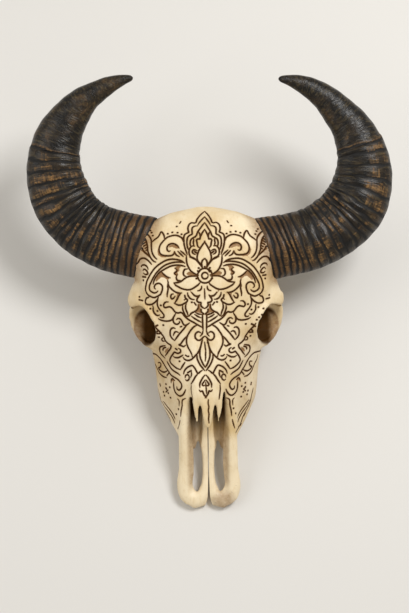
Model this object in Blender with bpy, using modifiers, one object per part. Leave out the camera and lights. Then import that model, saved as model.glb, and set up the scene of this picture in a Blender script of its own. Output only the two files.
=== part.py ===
"""Carved water-buffalo skull without its lower jaw, life size, lying on its cheek teeth and condyles.

Shapes are drawn in the face frame, in millimetres: u runs across to the animal's left, v from the muzzle
tip up to the crown, and w out of the forehead. The face frame is then tilted and set on the floor, in metres,
with the muzzle towards -Y and the floor at z = 0. The whole skull is fused from simple forms, rounded, and
parted with thin cuts along its sutures, so that each bone is one solid.
"""

import math

import bmesh
import bpy
from mathutils import Matrix, Vector

MM = 0.001
FACE_TILT = math.radians(17.0)
FACE_LIFT = 72.0
FACE_BACK = -344.5
# The horns differ in reach, so the middle of the whole box lies beside the skull's own middle
BOX_MIDDLE = (8.86, -1.04)
SUTURE = 0.3

# Rounding of the fused skull
VOXEL = 2.6
SMOOTH_STEPS = 7
SKULL_TRIANGLES = 6200
CRUMB = 12

# The head, from the front of the palate to the crown:
# v, half width, top, widest level, bottom, upper and lower roundness (2 is an ellipse)
HEAD = (
    (86, 40, -61, -73, -86, 2.0, 2.5),
    (98, 44, -56, -72, -88, 2.0, 2.5),
    (112, 50, -47, -74, -91, 2.0, 3.0),
    (130, 60, -37, -78, -94, 1.9, 3.2),
    (150, 70, -27, -82, -98, 1.8, 3.5),
    (172, 79.5, -18, -87, -105, 1.8, 3.5),
    (200, 83, -12, -90, -113, 1.85, 3.5),
    (230, 86, -10, -86, -122, 1.95, 3.5),
    (258, 92, -9, -76, -130, 2.1, 3.0),
    (285, 98, -7, -62, -132, 2.2, 2.0),
    (315, 102, -4, -54, -132, 2.3, 1.5),
    (345, 107, -1, -50, -140, 2.3, 1.35),
    (380, 112, 0, -50, -155, 2.3, 1.35),
    (415, 112, -2, -52, -168, 2.3, 1.45),
    (440, 104, -8, -56, -176, 2.3, 1.6),
    (462, 84, -22, -60, -164, 2.2, 1.8),
    (472, 62, -34, -60, -112, 2.1, 2.0),
    (480, 36, -45, -58, -78, 2.0, 2.0),
    (484, 12, -54, -58, -63, 2.0, 2.0),
)
HEAD_RINGS = 44
HEAD_SIDES = 36

# Hollows: v, half width, top, widest level, bottom, roundness above and below
NASAL_CAVITY = (
    (70, 29, -17, -50, -78, 4.0, 4.0),
    (130, 30, -17, -50, -79, 4.0, 4.0),
    (200, 31, -18, -50, -82, 4.0, 3.0),
    (250, 28, -20, -50, -80, 3.0, 2.5),
    (292, 14, -34, -50, -66, 2.0, 2.0),
)
PALATE_VAULT = (
    (70, 22, -84, -120, -180, 2.5, 4.0),
    (150, 29, -88, -125, -200, 2.6, 4.0),
    (205, 34, -98, -140, -210, 2.8, 4.0),
    (262, 36, -112, -150, -220, 2.8, 4.0),
    (300, 34, -116, -160, -220, 2.5, 4.0),
    (338, 26, -124, -160, -220, 2.0, 4.0),
)
NASAL_OPENING_HALF = 28.0
NASAL_OPENING_TOP = 193.0

# Eye sockets
ORBIT_CENTRE = Vector((101, 297, -52))
ORBIT_FACING = Vector((0.80, -0.35, 0.49)).normalized()
ORBIT_RIM_RADIUS = 42.0
ORBIT_FLOOR_RADIUS = 30.0
ORBIT_DEPTH = 42.0
RIM_SHIFT = Vector((3, -6, -1))
SOCKET_RADII = (31.0, 31.0, 44.0)
SOCKET_OUT = 6.0
SOCKET_DEPTHS = ((75, 299, -66), (19, 25, 24))

# Paths are u, v, w, half thickness across and half thickness deep, for the animal's left side
PREMAXILLA = (
    (36, 186, -34, 7, 8),
    (36.8, 157, -41, 9.8, 11),
    (37.2, 116, -51, 10.8, 13),
    (36.3, 85, -57, 12, 13),
    (36.5, 52, -61, 13, 10),
    (39.5, 28, -63, 13.5, 9),
    (33.5, 10, -64, 14.5, 8.5),
    (20.5, 3.5, -64, 14.8, 8),
    (10, 10, -64, 10, 7.5),
    (6.2, 28, -65, 6.2, 6.5),
    (4.9, 55, -69, 5.2, 6.5),
    (5.2, 92, -73, 6, 7.5),
    (4.9, 123, -76, 5.2, 7.5),
    (4.5, 145, -78, 3.5, 6.5),
)
NASAL_MAIN = (
    (13.5, 268, -12, 14, 5),
    (13.2, 205, -14, 13, 5),
    (10.2, 184, -14.5, 10, 5),
    (6.2, 166, -15, 6.4, 4.8),
    (4.8, 150, -15, 5.2, 4.4),
    (3.4, 137, -15.5, 3.8, 3.8),
    (2.0, 124, -16, 2.0, 2.6),
)
NASAL_SPIKE = (
    (18, 215, -16, 8, 5),
    (19.5, 190, -17, 7, 5),
    (19.8, 172, -18.5, 5.2, 5),
    (18.9, 156, -19.5, 4.4, 4.2),
    (17.8, 143, -20.5, 3.2, 3.4),
    (17.0, 132, -21, 1.8, 2.2),
)
BROW_RIDGE = (
    (84, 382, -50, 14, 14),
    (99, 362, -50, 15, 15),
    (110, 345, -52, 15, 15),
    (116, 331, -56, 11, 13),
)
ZYGOMATIC_ARCH = (
    (84, 262, -88, 8, 12),
    (98, 285, -91, 6.5, 11),
    (104, 320, -97, 5.5, 10),
    (103, 350, -104, 5.5, 9),
    (97, 382, -112, 6, 9),
    (80, 412, -118, 8, 12),
)
HORN_CORE = (
    (62, 408, -54, 46, 34),
    (84, 413, -53, 49, 33),
    (112, 420, -52, 50, 31),
)
PTERYGOID = (
    (24, 266, -118, 5, 12),
    (21, 290, -122, 3.6, 13),
    (18, 315, -121, 3.4, 12),
    (17, 338, -118, 4, 10),
)
JUGULAR_PROCESS = (
    (62, 424, -138, 11, 15),
    (63, 432, -163, 8, 13),
    (61, 436, -184, 5.5, 9),
    (59, 438, -200, 3, 4.5),
)
EAR_TUBE = (
    (50, 402, -122, 11, 12),
    (76, 404, -121, 10, 11),
    (90, 406, -120, 9, 10),
)

# Rounded masses: centre u, v, w and radii
OCCIPUT = ((0, 438, -112), (98, 28, 60))
NUCHAL_BASE = ((0, 432, -166), (54, 34, 30))
CONDYLE = ((26, 449, -188), (19, 24, 29))
EAR_BULLA = ((43, 390, -143), (13, 19, 15))
BROW = ((111, 334, -52), (17, 22, 18))
TEMPORAL_FOSSA = ((112, 345, -106), (40, 46, 32))
CHOANA = ((0, 302, -122), (15, 34, 20))
CHEEK_HOLLOW = ((92, 214, -128), (24, 74, 22))
FORAMEN_RADIUS = 16.0
FORAMEN_DEPTH = 60.0
FORAMEN_CENTRE = Vector((0, 470, -166))

# Notches between the middle of the nasal bones and their side spikes
NASAL_NOTCH = ((12.4, 171), (13.9, 160), (14.4, 146), (14.8, 125), (3.2, 121), (6.2, 137), (8.6, 152), (10.6, 164))
NASAL_NOTCH_DEPTH = -34.0

# Cheek teeth: width across, length along the row, and how far out the row's middle runs
TEETH = (
    (15, 17, 41),
    (17, 18, 45),
    (19, 19, 49),
    (22, 24, 53),
    (23, 27, 55),
    (21, 29, 54),
)
TOOTH_ROW_FRONT = 165.0
TOOTH_GAP = 1.2
TOOTH_ROOT = 34.0
TOOTH_SIDES = 14

# Suture cuts in the face frame
NASOFRONTAL = ((0, 268), (14, 262), (27, 250), (31, 236), (45, 226), (65, 214), (80, 206), (135, 206))
NASOFRONTAL_TOP = 30.0
NASOFRONTAL_LEAN = (83.0, -230.0)
PREMAXILLA_SUTURE = ((-40, -24), (196, -24), (100, -112), (-40, -112))
NASAL_SUTURE_HALF = 26.8
NASAL_SUTURE_DEPTH = -22.5
CHEEK_SUTURE = ((200, -54), (342, -54), (342, -84), (412, -84), (412, -160), (200, -160))
CHEEK_SUTURE_IN = 86.0
FRONTAL_SUTURE = -86.0

# Horns: u, v and width across the face, read along the middle of each sheath
HORN_LEFT = (
    (99, 414, 105),
    (141, 421, 102),
    (178, 431, 102),
    (208, 447, 103),
    (233, 467, 105),
    (251, 492, 104),
    (261, 525, 97),
    (262, 555, 88),
    (256.5, 580, 80),
    (241.5, 612, 68),
    (222.5, 635, 57),
    (201, 657, 46),
    (179, 672, 35),
    (158, 682, 25),
    (139, 687.5, 14),
    (124, 689.5, 6),
)
HORN_RIGHT = (
    (-100, 419, 105),
    (-140, 428, 104),
    (-175, 441, 101),
    (-203, 459, 99),
    (-226, 486, 100),
    (-240, 517, 98),
    (-246, 548, 91),
    (-244, 581, 84),
    (-234, 610, 76),
    (-216, 637, 63),
    (-194, 659, 49),
    (-173, 671, 37),
    (-151, 682, 27),
    (-129, 690, 15),
    (-114, 692, 6),
)
HORN_DEPTH = ((0.0, -52), (0.3, -66), (0.6, -66), (0.85, -48), (1.0, -34))
HORN_FLATNESS = ((0.0, 0.62), (0.4, 0.68), (0.75, 0.82), (1.0, 0.95))
HORN_SIDES = 18
HORN_RIDGES = 14
HORN_RIDGED_SHARE = 0.66
HORN_RIDGE_HEIGHT = 0.045
HORN_SMOOTH_RINGS = 10
RINGS_PER_RIDGE = 3
HORN_GAP = 0.5
HORN_SEAT_DEPTH = 80.0
HORN_SEAT_TURN = math.radians(8.0)
HORN_LEANING_SHARE = 0.2

BONE_COLOUR = (0.78, 0.66, 0.45, 1.0)
HORN_COLOUR = (0.05, 0.04, 0.03, 1.0)
BONE_ROUGHNESS = 0.55
HORN_ROUGHNESS = 0.42

FACE_TO_WORLD = (
    Matrix.Translation((0, FACE_BACK * MM, FACE_LIFT * MM))
    @ Matrix.Rotation(FACE_TILT, 4, "X")
    @ Matrix.Scale(MM, 4)
)
FLOOR_TO_WORLD = Matrix.Translation((0, FACE_BACK * MM, 0)) @ Matrix.Scale(MM, 4)
SIDES = (1, -1)


def clear_scene():
    for obj in list(bpy.data.objects):
        bpy.data.objects.remove(obj)


def material(name, colour, roughness):
    made = bpy.data.materials.new(name)
    made.use_nodes = True
    shader = made.node_tree.nodes["Principled BSDF"]
    shader.inputs["Base Color"].default_value = colour
    shader.inputs["Roughness"].default_value = roughness
    shader.inputs["Metallic"].default_value = 0.0
    return made


def new_collection(name, hidden=False):
    made = bpy.data.collections.new(name)
    bpy.context.scene.collection.children.link(made)
    made.hide_render = hidden
    return made


def object_from(bm, name, collection, frame=FACE_TO_WORLD):
    """One closed mesh object, drawn in millimetres and set in the world by frame."""
    bmesh.ops.transform(bm, matrix=frame, verts=bm.verts)
    bmesh.ops.recalc_face_normals(bm, faces=bm.faces)
    mesh = bpy.data.meshes.new(name)
    bm.to_mesh(mesh)
    bm.free()
    made = bpy.data.objects.new(name, mesh)
    collection.objects.link(made)
    return made


def smooth_between(keys, t):
    """A row of numbers at t, on a Catmull-Rom curve through keys whose first number is the position."""
    last = len(keys) - 1
    i = 0
    while i < last - 1 and keys[i + 1][0] < t:
        i += 1
    a, b = keys[i], keys[i + 1]
    before = keys[max(i - 1, 0)]
    after = keys[min(i + 2, last)]
    span = b[0] - a[0]
    s = (t - a[0]) / span
    row = []
    for k in range(1, len(a)):
        rise_a = (b[k] - before[k]) / (b[0] - before[0]) * span
        rise_b = (after[k] - a[k]) / (after[0] - a[0]) * span
        row.append(
            a[k] * (2 * s**3 - 3 * s**2 + 1)
            + rise_a * (s**3 - 2 * s**2 + s)
            + b[k] * (3 * s**2 - 2 * s**3)
            + rise_b * (s**3 - s**2)
        )
    return row


def loft(rings, name, collection, frame=FACE_TO_WORLD):
    """A closed skin through rings of points, all with the same count, with flat ends."""
    bm = bmesh.new()
    rows = [[bm.verts.new(point) for point in ring] for ring in rings]
    count = len(rows[0])
    for low, high in zip(rows, rows[1:]):
        for i in range(count):
            j = (i + 1) % count
            bm.faces.new((low[i], low[j], high[j], high[i]))
    bm.faces.new(rows[0][::-1])
    bm.faces.new(rows[-1])
    return object_from(bm, name, collection, frame)


def section(v, row, sides):
    """One upright ring of the head: a superellipse, rounder or squarer above and below its widest level."""
    half_width, top, middle, bottom, above, below = row
    points = []
    for i in range(sides):
        angle = math.tau * i / sides
        across, rise = math.cos(angle), math.sin(angle)
        power = above if rise >= 0 else below
        height = top - middle if rise >= 0 else middle - bottom
        u = half_width * math.copysign(abs(across) ** (2 / power), across)
        w = middle + height * math.copysign(abs(rise) ** (2 / power), rise)
        points.append(Vector((u, v, w)))
    return points


def head_loft(stations, rings, name, collection):
    first, last = stations[0][0], stations[-1][0]
    made = []
    for i in range(rings):
        v = first + (last - first) * i / (rings - 1)
        made.append(section(v, smooth_between(stations, v), HEAD_SIDES))
    return loft(made, name, collection)


def path_rings(keys, rings, sides, swell=None):
    """Elliptical rings along a smooth path of u, v, w and two half thicknesses, and each ring's share."""
    lengths = [0.0]
    for a, b in zip(keys, keys[1:]):
        lengths.append(lengths[-1] + (Vector(b[:3]) - Vector(a[:3])).length)
    timed = [(length / lengths[-1], *key) for length, key in zip(lengths, keys)]
    made = []
    step = 1e-3
    for i in range(rings):
        t = i / (rings - 1)
        u, v, w, across, deep = smooth_between(timed, t)
        ahead = Vector(smooth_between(timed, min(t + step, 1.0))[:3])
        behind = Vector(smooth_between(timed, max(t - step, 0.0))[:3])
        tangent = (ahead - behind).normalized()
        side = tangent.cross(Vector((0, 0, 1)))
        if side.length < 0.3:
            side = Vector((1, 0, 0)) - tangent * tangent.x
        side.normalize()
        up = side.cross(tangent)
        grow = swell(t) if swell else 1.0
        ring = []
        for k in range(sides):
            angle = math.tau * k / sides
            ring.append(
                Vector((u, v, w))
                + side * (across * grow * math.cos(angle))
                + up * (deep * grow * math.sin(angle))
            )
        made.append(ring)
    return made


def mirrored(keys, hand):
    return [(hand * key[0], *key[1:]) for key in keys]


def limb(keys, hand, name, collection, rings=26, sides=16):
    return loft(path_rings(mirrored(keys, hand), rings, sides), name, collection)


def ellipsoid(mass, hand, name, collection):
    (u, v, w), radii = mass
    bm = bmesh.new()
    place = Matrix.Translation((hand * u, v, w)) @ Matrix.Diagonal((*radii, 1))
    bmesh.ops.create_uvsphere(bm, u_segments=32, v_segments=20, radius=1, matrix=place)
    return object_from(bm, name, collection)


def box(low, high, name, collection, frame=FACE_TO_WORLD):
    low, high = Vector(low), Vector(high)
    bm = bmesh.new()
    place = Matrix.Translation((low + high) / 2) @ Matrix.Diagonal((*(high - low), 1))
    bmesh.ops.create_cube(bm, size=1, matrix=place)
    return object_from(bm, name, collection, frame)


def turned_to(direction, centre):
    """A frame whose z axis points in that direction."""
    return Matrix.Translation(centre) @ direction.to_track_quat("Z", "Y").to_matrix().to_4x4()


def orbit_frame(hand, shift=Vector()):
    centre = ORBIT_CENTRE + shift
    centre.x *= hand
    facing = Vector((hand * ORBIT_FACING.x, ORBIT_FACING.y, ORBIT_FACING.z))
    return turned_to(facing, centre)


def orbit_cup(hand, collection):
    """The bony funnel round the eye, widest at its rim."""
    bm = bmesh.new()
    bmesh.ops.create_cone(
        bm,
        cap_ends=True,
        segments=40,
        radius1=ORBIT_FLOOR_RADIUS,
        radius2=ORBIT_RIM_RADIUS,
        depth=ORBIT_DEPTH,
        matrix=orbit_frame(hand, RIM_SHIFT) @ Matrix.Translation((0, 0, -ORBIT_DEPTH / 2)),
    )
    return object_from(bm, "orbit_cup", collection)


def eye_socket(hand, collection):
    bm = bmesh.new()
    place = orbit_frame(hand) @ Matrix.Translation((0, 0, SOCKET_OUT))
    place = place @ Matrix.Diagonal((*SOCKET_RADII, 1))
    bmesh.ops.create_uvsphere(bm, u_segments=32, v_segments=20, radius=1, matrix=place)
    return object_from(bm, "eye_socket", collection)


def foramen(collection):
    """The hole for the spinal cord, bored forwards between the condyles."""
    bm = bmesh.new()
    bmesh.ops.create_cone(
        bm,
        cap_ends=True,
        segments=24,
        radius1=FORAMEN_RADIUS,
        radius2=FORAMEN_RADIUS * 0.8,
        depth=FORAMEN_DEPTH,
        matrix=turned_to(Vector((0, -1, 0)), FORAMEN_CENTRE),
    )
    return object_from(bm, "foramen", collection)


def prism(outline, axis, near, far, name, collection):
    """A straight block whose outline is drawn in the two other axes, from near to far along axis."""
    bm = bmesh.new()
    ends = []
    for reach in (near, far):
        ring = []
        for point in outline:
            place = list(point)
            place.insert(axis, reach)
            ring.append(bm.verts.new(place))
        ends.append(ring)
    count = len(outline)
    for i in range(count):
        j = (i + 1) % count
        bm.faces.new((ends[0][i], ends[0][j], ends[1][j], ends[1][i]))
    bm.faces.new(ends[0][::-1])
    bm.faces.new(ends[1])
    return object_from(bm, name, collection)


def apply_modifiers(obj):
    """Replaces the mesh by what its modifiers make of it."""
    graph = bpy.context.evaluated_depsgraph_get()
    mesh = bpy.data.meshes.new_from_object(obj.evaluated_get(graph))
    obj.modifiers.clear()
    old = obj.data
    obj.data = mesh
    bpy.data.meshes.remove(old)


def boolean(obj, operation, collection):
    """Joins or cuts obj with all the closed meshes of a collection, and removes them."""
    modifier = obj.modifiers.new(operation.title(), "BOOLEAN")
    modifier.operation = operation
    modifier.operand_type = "COLLECTION"
    modifier.collection = collection
    modifier.solver = "MANIFOLD"
    bpy.context.view_layer.update()
    apply_modifiers(obj)
    for other in list(collection.objects):
        bpy.data.objects.remove(other)
    bpy.data.collections.remove(collection)


def thin_wall(obj):
    """Turns a closed block into a wall as thick as a suture, all round it."""
    modifier = obj.modifiers.new("Suture", "SOLIDIFY")
    modifier.thickness = SUTURE * MM
    modifier.offset = 0
    modifier.use_even_offset = True
    bpy.context.view_layer.update()
    apply_modifiers(obj)


def connected_groups(bm):
    """The vertices of each body in a mesh; crumbs of a few vertices, which booleans leave, are skipped."""
    waiting = set(bm.verts)
    groups = []
    while waiting:
        reach = [waiting.pop()]
        group = set(reach)
        while reach:
            for edge in reach.pop().link_edges:
                for vert in edge.verts:
                    if vert not in group:
                        group.add(vert)
                        reach.append(vert)
        waiting -= group
        if len(group) > CRUMB:
            groups.append(group)
    return groups


def loose_parts(obj, collection):
    """Splits obj into its closed bodies, largest first."""
    bm = bmesh.new()
    bm.from_mesh(obj.data)
    parts = []
    for group in connected_groups(bm):
        part = bmesh.new()
        copies = {vert: part.verts.new(vert.co) for vert in group}
        for face in bm.faces:
            if face.verts[0] in group:
                part.faces.new([copies[vert] for vert in face.verts])
        volume = part.calc_volume(signed=True)
        mesh = bpy.data.meshes.new(obj.name)
        part.to_mesh(mesh)
        part.free()
        parts.append((volume, mesh))
    bm.free()
    parts.sort(key=lambda pair: pair[0], reverse=True)
    made = []
    for _, mesh in parts:
        piece = bpy.data.objects.new(obj.name, mesh)
        collection.objects.link(piece)
        made.append(piece)
    bpy.data.objects.remove(obj)
    return made


def drop_crumbs(obj):
    bm = bmesh.new()
    bm.from_mesh(obj.data)
    kept = max(connected_groups(bm), key=len)
    bmesh.ops.delete(bm, geom=[vert for vert in bm.verts if vert not in kept], context="VERTS")
    bm.to_mesh(obj.data)
    bm.free()


def middle_of(obj):
    """The centre of obj's box, in the face frame."""
    points = [FACE_TO_WORLD.inverted() @ vert.co for vert in obj.data.vertices]
    low = Vector([min(p[k] for p in points) for k in range(3)])
    high = Vector([max(p[k] for p in points) for k in range(3)])
    return (low + high) / 2


def part_along(obj, block, collection):
    """Cuts obj with the thin wall of a block, and gives the bodies that this leaves, largest first."""
    thin_wall(block)
    cutters = new_collection("cutters", hidden=True)
    block.users_collection[0].objects.unlink(block)
    cutters.objects.link(block)
    boolean(obj, "DIFFERENCE", cutters)
    return loose_parts(obj, collection)


def keep(parts, count):
    """The largest bodies; the crumbs that a cut leaves are dropped."""
    for crumb in parts[count:]:
        bpy.data.objects.remove(crumb)
    return parts[:count]


def horn_keys(keys):
    """Adds each key's depth and its two half thicknesses."""
    lengths = [0.0]
    for a, b in zip(keys, keys[1:]):
        lengths.append(lengths[-1] + math.dist(a[:2], b[:2]))
    made = []
    for length, (u, v, width) in zip(lengths, keys):
        share = length / lengths[-1]
        depth = smooth_between(HORN_DEPTH, share)[0]
        flatness = smooth_between(HORN_FLATNESS, share)[0]
        made.append((u, v, depth, width / 2, width / 2 * flatness))
    return made


def ridge_swell(t):
    """Growth ridges: each swells slowly from the base side and drops off towards the tip."""
    if t >= HORN_RIDGED_SHARE:
        return 1.0
    phase = t / HORN_RIDGED_SHARE * HORN_RIDGES % 1.0
    fade = 1.0 - (t / HORN_RIDGED_SHARE) ** 3
    return 1.0 + HORN_RIDGE_HEIGHT * fade * (phase - 0.5)


def horn_shares():
    """Where the rings of a horn lie: three to a ridge, then evenly to the tip."""
    count = HORN_RIDGES * RINGS_PER_RIDGE
    ridged = [HORN_RIDGED_SHARE * i / count for i in range(count)]
    rest = 1.0 - HORN_RIDGED_SHARE
    return ridged + [HORN_RIDGED_SHARE + rest * i / HORN_SMOOTH_RINGS for i in range(HORN_SMOOTH_RINGS + 1)]


def leaned(ring, t):
    """A ring near a horn's seat, leaned so that its lower edge reaches further out than its upper edge."""
    centre, _ = ring_frame(ring)
    turn = HORN_SEAT_TURN * max(0.0, 1.0 - t / HORN_LEANING_SHARE)
    lean = Matrix.Rotation(math.copysign(turn, centre.x), 3, "Z")
    return [centre + lean @ (point - centre) for point in ring]


def horn(name, keys, collection):
    """A horn sheath: a flattened, ridged cone that sweeps out and back and closes in at its tip."""
    fine = 800
    rings = path_rings(horn_keys(keys), fine + 1, HORN_SIDES, ridge_swell)
    chosen = [leaned(rings[round(share * fine)], share) for share in horn_shares()]
    centre, tangent = ring_frame(chosen[0])
    if tangent.x * centre.x < 0:
        tangent.negate()
    chosen[0] = [point + tangent * HORN_GAP for point in chosen[0]]
    return loft(chosen, name, collection)


def ring_frame(ring):
    """The centre of a ring of points, and the direction in which its path goes on."""
    centre = sum(ring, Vector()) / len(ring)
    quarter = ring[len(ring) // 4]
    return centre, (ring[0] - centre).cross(quarter - centre).normalized()


def horn_seat(keys, collection):
    """The block that trims the skull flat where a horn sheath starts."""
    centre, tangent = ring_frame(leaned(path_rings(horn_keys(keys), 2, HORN_SIDES)[0], 0.0))
    if tangent.x * centre.x < 0:
        tangent.negate()
    bm = bmesh.new()
    reach = Matrix.Translation((0, 0, HORN_SEAT_DEPTH / 2)) @ Matrix.Diagonal((150, 150, HORN_SEAT_DEPTH, 1))
    bmesh.ops.create_cube(bm, size=1, matrix=turned_to(tangent, centre) @ reach)
    return object_from(bm, "horn_seat", collection)


def build_skull(nodes):
    """The whole skull as one rounded solid."""
    skull = head_loft(HEAD, HEAD_RINGS, "skull", nodes)
    hollows = new_collection("hollows", hidden=True)
    head_loft(NASAL_CAVITY, 24, "nasal_cavity", hollows)
    head_loft(PALATE_VAULT, 24, "palate_vault", hollows)
    opening = NASAL_OPENING_HALF
    box((-opening, 40, -62), (opening, NASAL_OPENING_TOP, 40), "nasal_opening", hollows)
    for hand in SIDES:
        ellipsoid(TEMPORAL_FOSSA, hand, "temporal_fossa", hollows)
        ellipsoid(CHEEK_HOLLOW, hand, "cheek_hollow", hollows)
    boolean(skull, "DIFFERENCE", hollows)

    forms = new_collection("forms", hidden=True)
    ellipsoid(OCCIPUT, 1, "occiput", forms)
    ellipsoid(NUCHAL_BASE, 1, "nuchal_base", forms)
    for hand in SIDES:
        orbit_cup(hand, forms)
        ellipsoid(BROW, hand, "brow", forms)
        limb(BROW_RIDGE, hand, "brow_ridge", forms, rings=12)
        limb(PREMAXILLA, hand, "premaxilla", forms, rings=60)
        limb(NASAL_MAIN, hand, "nasal_main", forms)
        limb(NASAL_SPIKE, hand, "nasal_spike", forms)
        limb(ZYGOMATIC_ARCH, hand, "arch", forms)
        limb(HORN_CORE, hand, "horn_core", forms, sides=28)
        limb(PTERYGOID, hand, "pterygoid", forms)
        limb(JUGULAR_PROCESS, hand, "jugular_process", forms)
        limb(EAR_TUBE, hand, "ear_tube", forms)
        ellipsoid(CONDYLE, hand, "condyle", forms)
        ellipsoid(EAR_BULLA, hand, "bulla", forms)
    boolean(skull, "UNION", forms)

    cuts = new_collection("cuts", hidden=True)
    foramen(cuts)
    ellipsoid(CHOANA, 1, "choana", cuts)
    for hand in SIDES:
        eye_socket(hand, cuts)
        ellipsoid(SOCKET_DEPTHS, hand, "socket_depths", cuts)
    boolean(skull, "DIFFERENCE", cuts)
    return skull


def round_off(obj):
    """Blends the joined forms into one another, then thins the mesh where it is flat."""
    remesh = obj.modifiers.new("Blend", "REMESH")
    remesh.mode = "VOXEL"
    remesh.voxel_size = VOXEL * MM
    smooth = obj.modifiers.new("Soften", "SMOOTH")
    smooth.factor = 0.5
    smooth.iterations = SMOOTH_STEPS
    bpy.context.view_layer.update()
    apply_modifiers(obj)
    obj.data.calc_loop_triangles()
    thin = obj.modifiers.new("Thin", "DECIMATE")
    thin.ratio = SKULL_TRIANGLES / len(obj.data.loop_triangles)
    bpy.context.view_layer.update()
    apply_modifiers(obj)
    drop_crumbs(obj)


def trim(skull):
    """The cuts that stay crisp: the horns' seats, the nasal notches and the floor under the condyles."""
    cuts = new_collection("trims", hidden=True)
    for hand in SIDES:
        notch = [(hand * u, v) for u, v in NASAL_NOTCH]
        prism(notch, 2, NASAL_NOTCH_DEPTH, 20, "nasal_notch", cuts)
    horn_seat(HORN_LEFT, cuts)
    horn_seat(HORN_RIGHT, cuts)
    box((-200, -100, -60), (200, 800, 0), "floor", cuts, FLOOR_TO_WORLD)
    boolean(skull, "DIFFERENCE", cuts)


def transverse_block(collection):
    """All that lies in front of the suture between the face and the cranium, which leans back as it goes down."""
    half = list(NASOFRONTAL)
    outline = [(-u, v) for u, v in half[:0:-1]] + half + [(135, -60), (-135, -60)]
    back, down = NASOFRONTAL_LEAN
    top = [Vector((u, v, NASOFRONTAL_TOP)) for u, v in outline]
    low = [Vector((u, v + back, NASOFRONTAL_TOP + down)) for u, v in outline]
    return loft([low, top], "transverse", collection)


def part_skull(skull, nodes):
    """Cuts the skull along its sutures and names each bone. Left is the animal's left, at +X."""
    helpers = new_collection("helpers", hidden=True)
    face, cranium = keep(part_along(skull, transverse_block(helpers), nodes), 2)
    if middle_of(face).y > middle_of(cranium).y:
        face, cranium = cranium, face

    half = NASAL_SUTURE_HALF
    nasal_block = box((-half, 90, NASAL_SUTURE_DEPTH), (half, 330, 60), "nasal_block", helpers)
    parts = keep(part_along(face, nasal_block, nodes), 2)
    parts.sort(key=lambda part: middle_of(part).z)
    jaw, nasals = parts

    front_block = prism(PREMAXILLA_SUTURE, 0, -120, 120, "front_block", helpers)
    parts = keep(part_along(jaw, front_block, nodes), 2)
    parts.sort(key=lambda part: middle_of(part).y)
    muzzle, upper_jaw = parts

    bones = []
    for pair, name in ((nasals, "nasal_bone"), (muzzle, "premaxilla"), (upper_jaw, "maxilla")):
        half_block = box((0, -60, -260), (300, 520, 120), "half_block", helpers)
        sides = keep(part_along(pair, half_block, nodes), 2)
        for side in sides:
            side.name = name + ("_left" if middle_of(side).x > 0 else "_right")
            bones.append(side)

    for hand, word in ((1, "left"), (-1, "right")):
        near, far = sorted((hand * CHEEK_SUTURE_IN, hand * 160.0))
        block = prism(CHEEK_SUTURE, 0, near, far, "cheek_block", helpers)
        cranium, cheek = keep(part_along(cranium, block, nodes), 2)
        cheek.name = "cheekbone_" + word
        bones.append(cheek)

    block = box((-300, 150, FRONTAL_SUTURE), (300, 600, 120), "frontal_block", helpers)
    parts = keep(part_along(cranium, block, nodes), 2)
    parts.sort(key=lambda part: middle_of(part).z)
    parts[0].name = "braincase"
    parts[1].name = "frontal_bone"
    bones.extend(parts)
    bpy.data.collections.remove(helpers)
    return bones


def tooth(width, length, out, near, hand, collection):
    """One cheek tooth: a rounded square column, worn flat where it meets the floor."""
    rings = []
    for z, spread in ((0.0, 0.96), (6.0, 1.0), (TOOTH_ROOT, 0.86)):
        ring = []
        for i in range(TOOTH_SIDES):
            angle = math.tau * i / TOOTH_SIDES
            across, along = math.cos(angle), math.sin(angle)
            x = width / 2 * math.copysign(abs(across) ** 0.6, across)
            y = length / 2 * math.copysign(abs(along) ** 0.6, along)
            ring.append(Vector((hand * out + x * spread, near + length / 2 + y * spread, z)))
        rings.append(ring)
    return loft(rings, "tooth", collection, FLOOR_TO_WORLD)


def add_teeth(maxilla, hand):
    roots = new_collection("roots", hidden=True)
    near = TOOTH_ROW_FRONT
    for width, length, out in TEETH:
        tooth(width, length, out, near, hand, roots)
        near += length + TOOTH_GAP
    boolean(maxilla, "UNION", roots)


def centre_box(nodes):
    """Sets the middle of the overall box over the origin, with the floor left at z = 0."""
    x, y = BOX_MIDDLE
    for piece in nodes.objects:
        piece.data.transform(Matrix.Translation((-x * MM, -y * MM, 0)))


def main():
    clear_scene()
    nodes = new_collection("buffalo_skull")
    bone = material("bone", BONE_COLOUR, BONE_ROUGHNESS)
    keratin = material("horn", HORN_COLOUR, HORN_ROUGHNESS)
    skull = build_skull(nodes)
    round_off(skull)
    trim(skull)
    bones = part_skull(skull, nodes)
    for piece in bones:
        if piece.name.startswith("maxilla"):
            add_teeth(piece, 1 if piece.name.endswith("left") else -1)
        piece.data.materials.clear()
        piece.data.materials.append(bone)
    for name, keys in (("horn_left", HORN_LEFT), ("horn_right", HORN_RIGHT)):
        sheath = horn(name, keys, nodes)
        sheath.data.shade_smooth()
        sheath.data.materials.append(keratin)
    centre_box(nodes)


main()
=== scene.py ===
"""Carved water-buffalo skull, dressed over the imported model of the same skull.

The bones are fused, rounded and carved as one body, then parted along their sutures, so that the carving
runs on across the seams. Lengths are in metres, except that the carving, the sutures and the horns are drawn
in the face frame, in millimetres: u runs across to the animal's left, v from the muzzle tip up to the crown,
and w out of the forehead.
"""

import math
import random

import bpy
import numpy as np
from mathutils import Matrix, Vector
from mathutils.bvhtree import BVHTree
from mathutils.kdtree import KDTree


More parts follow.
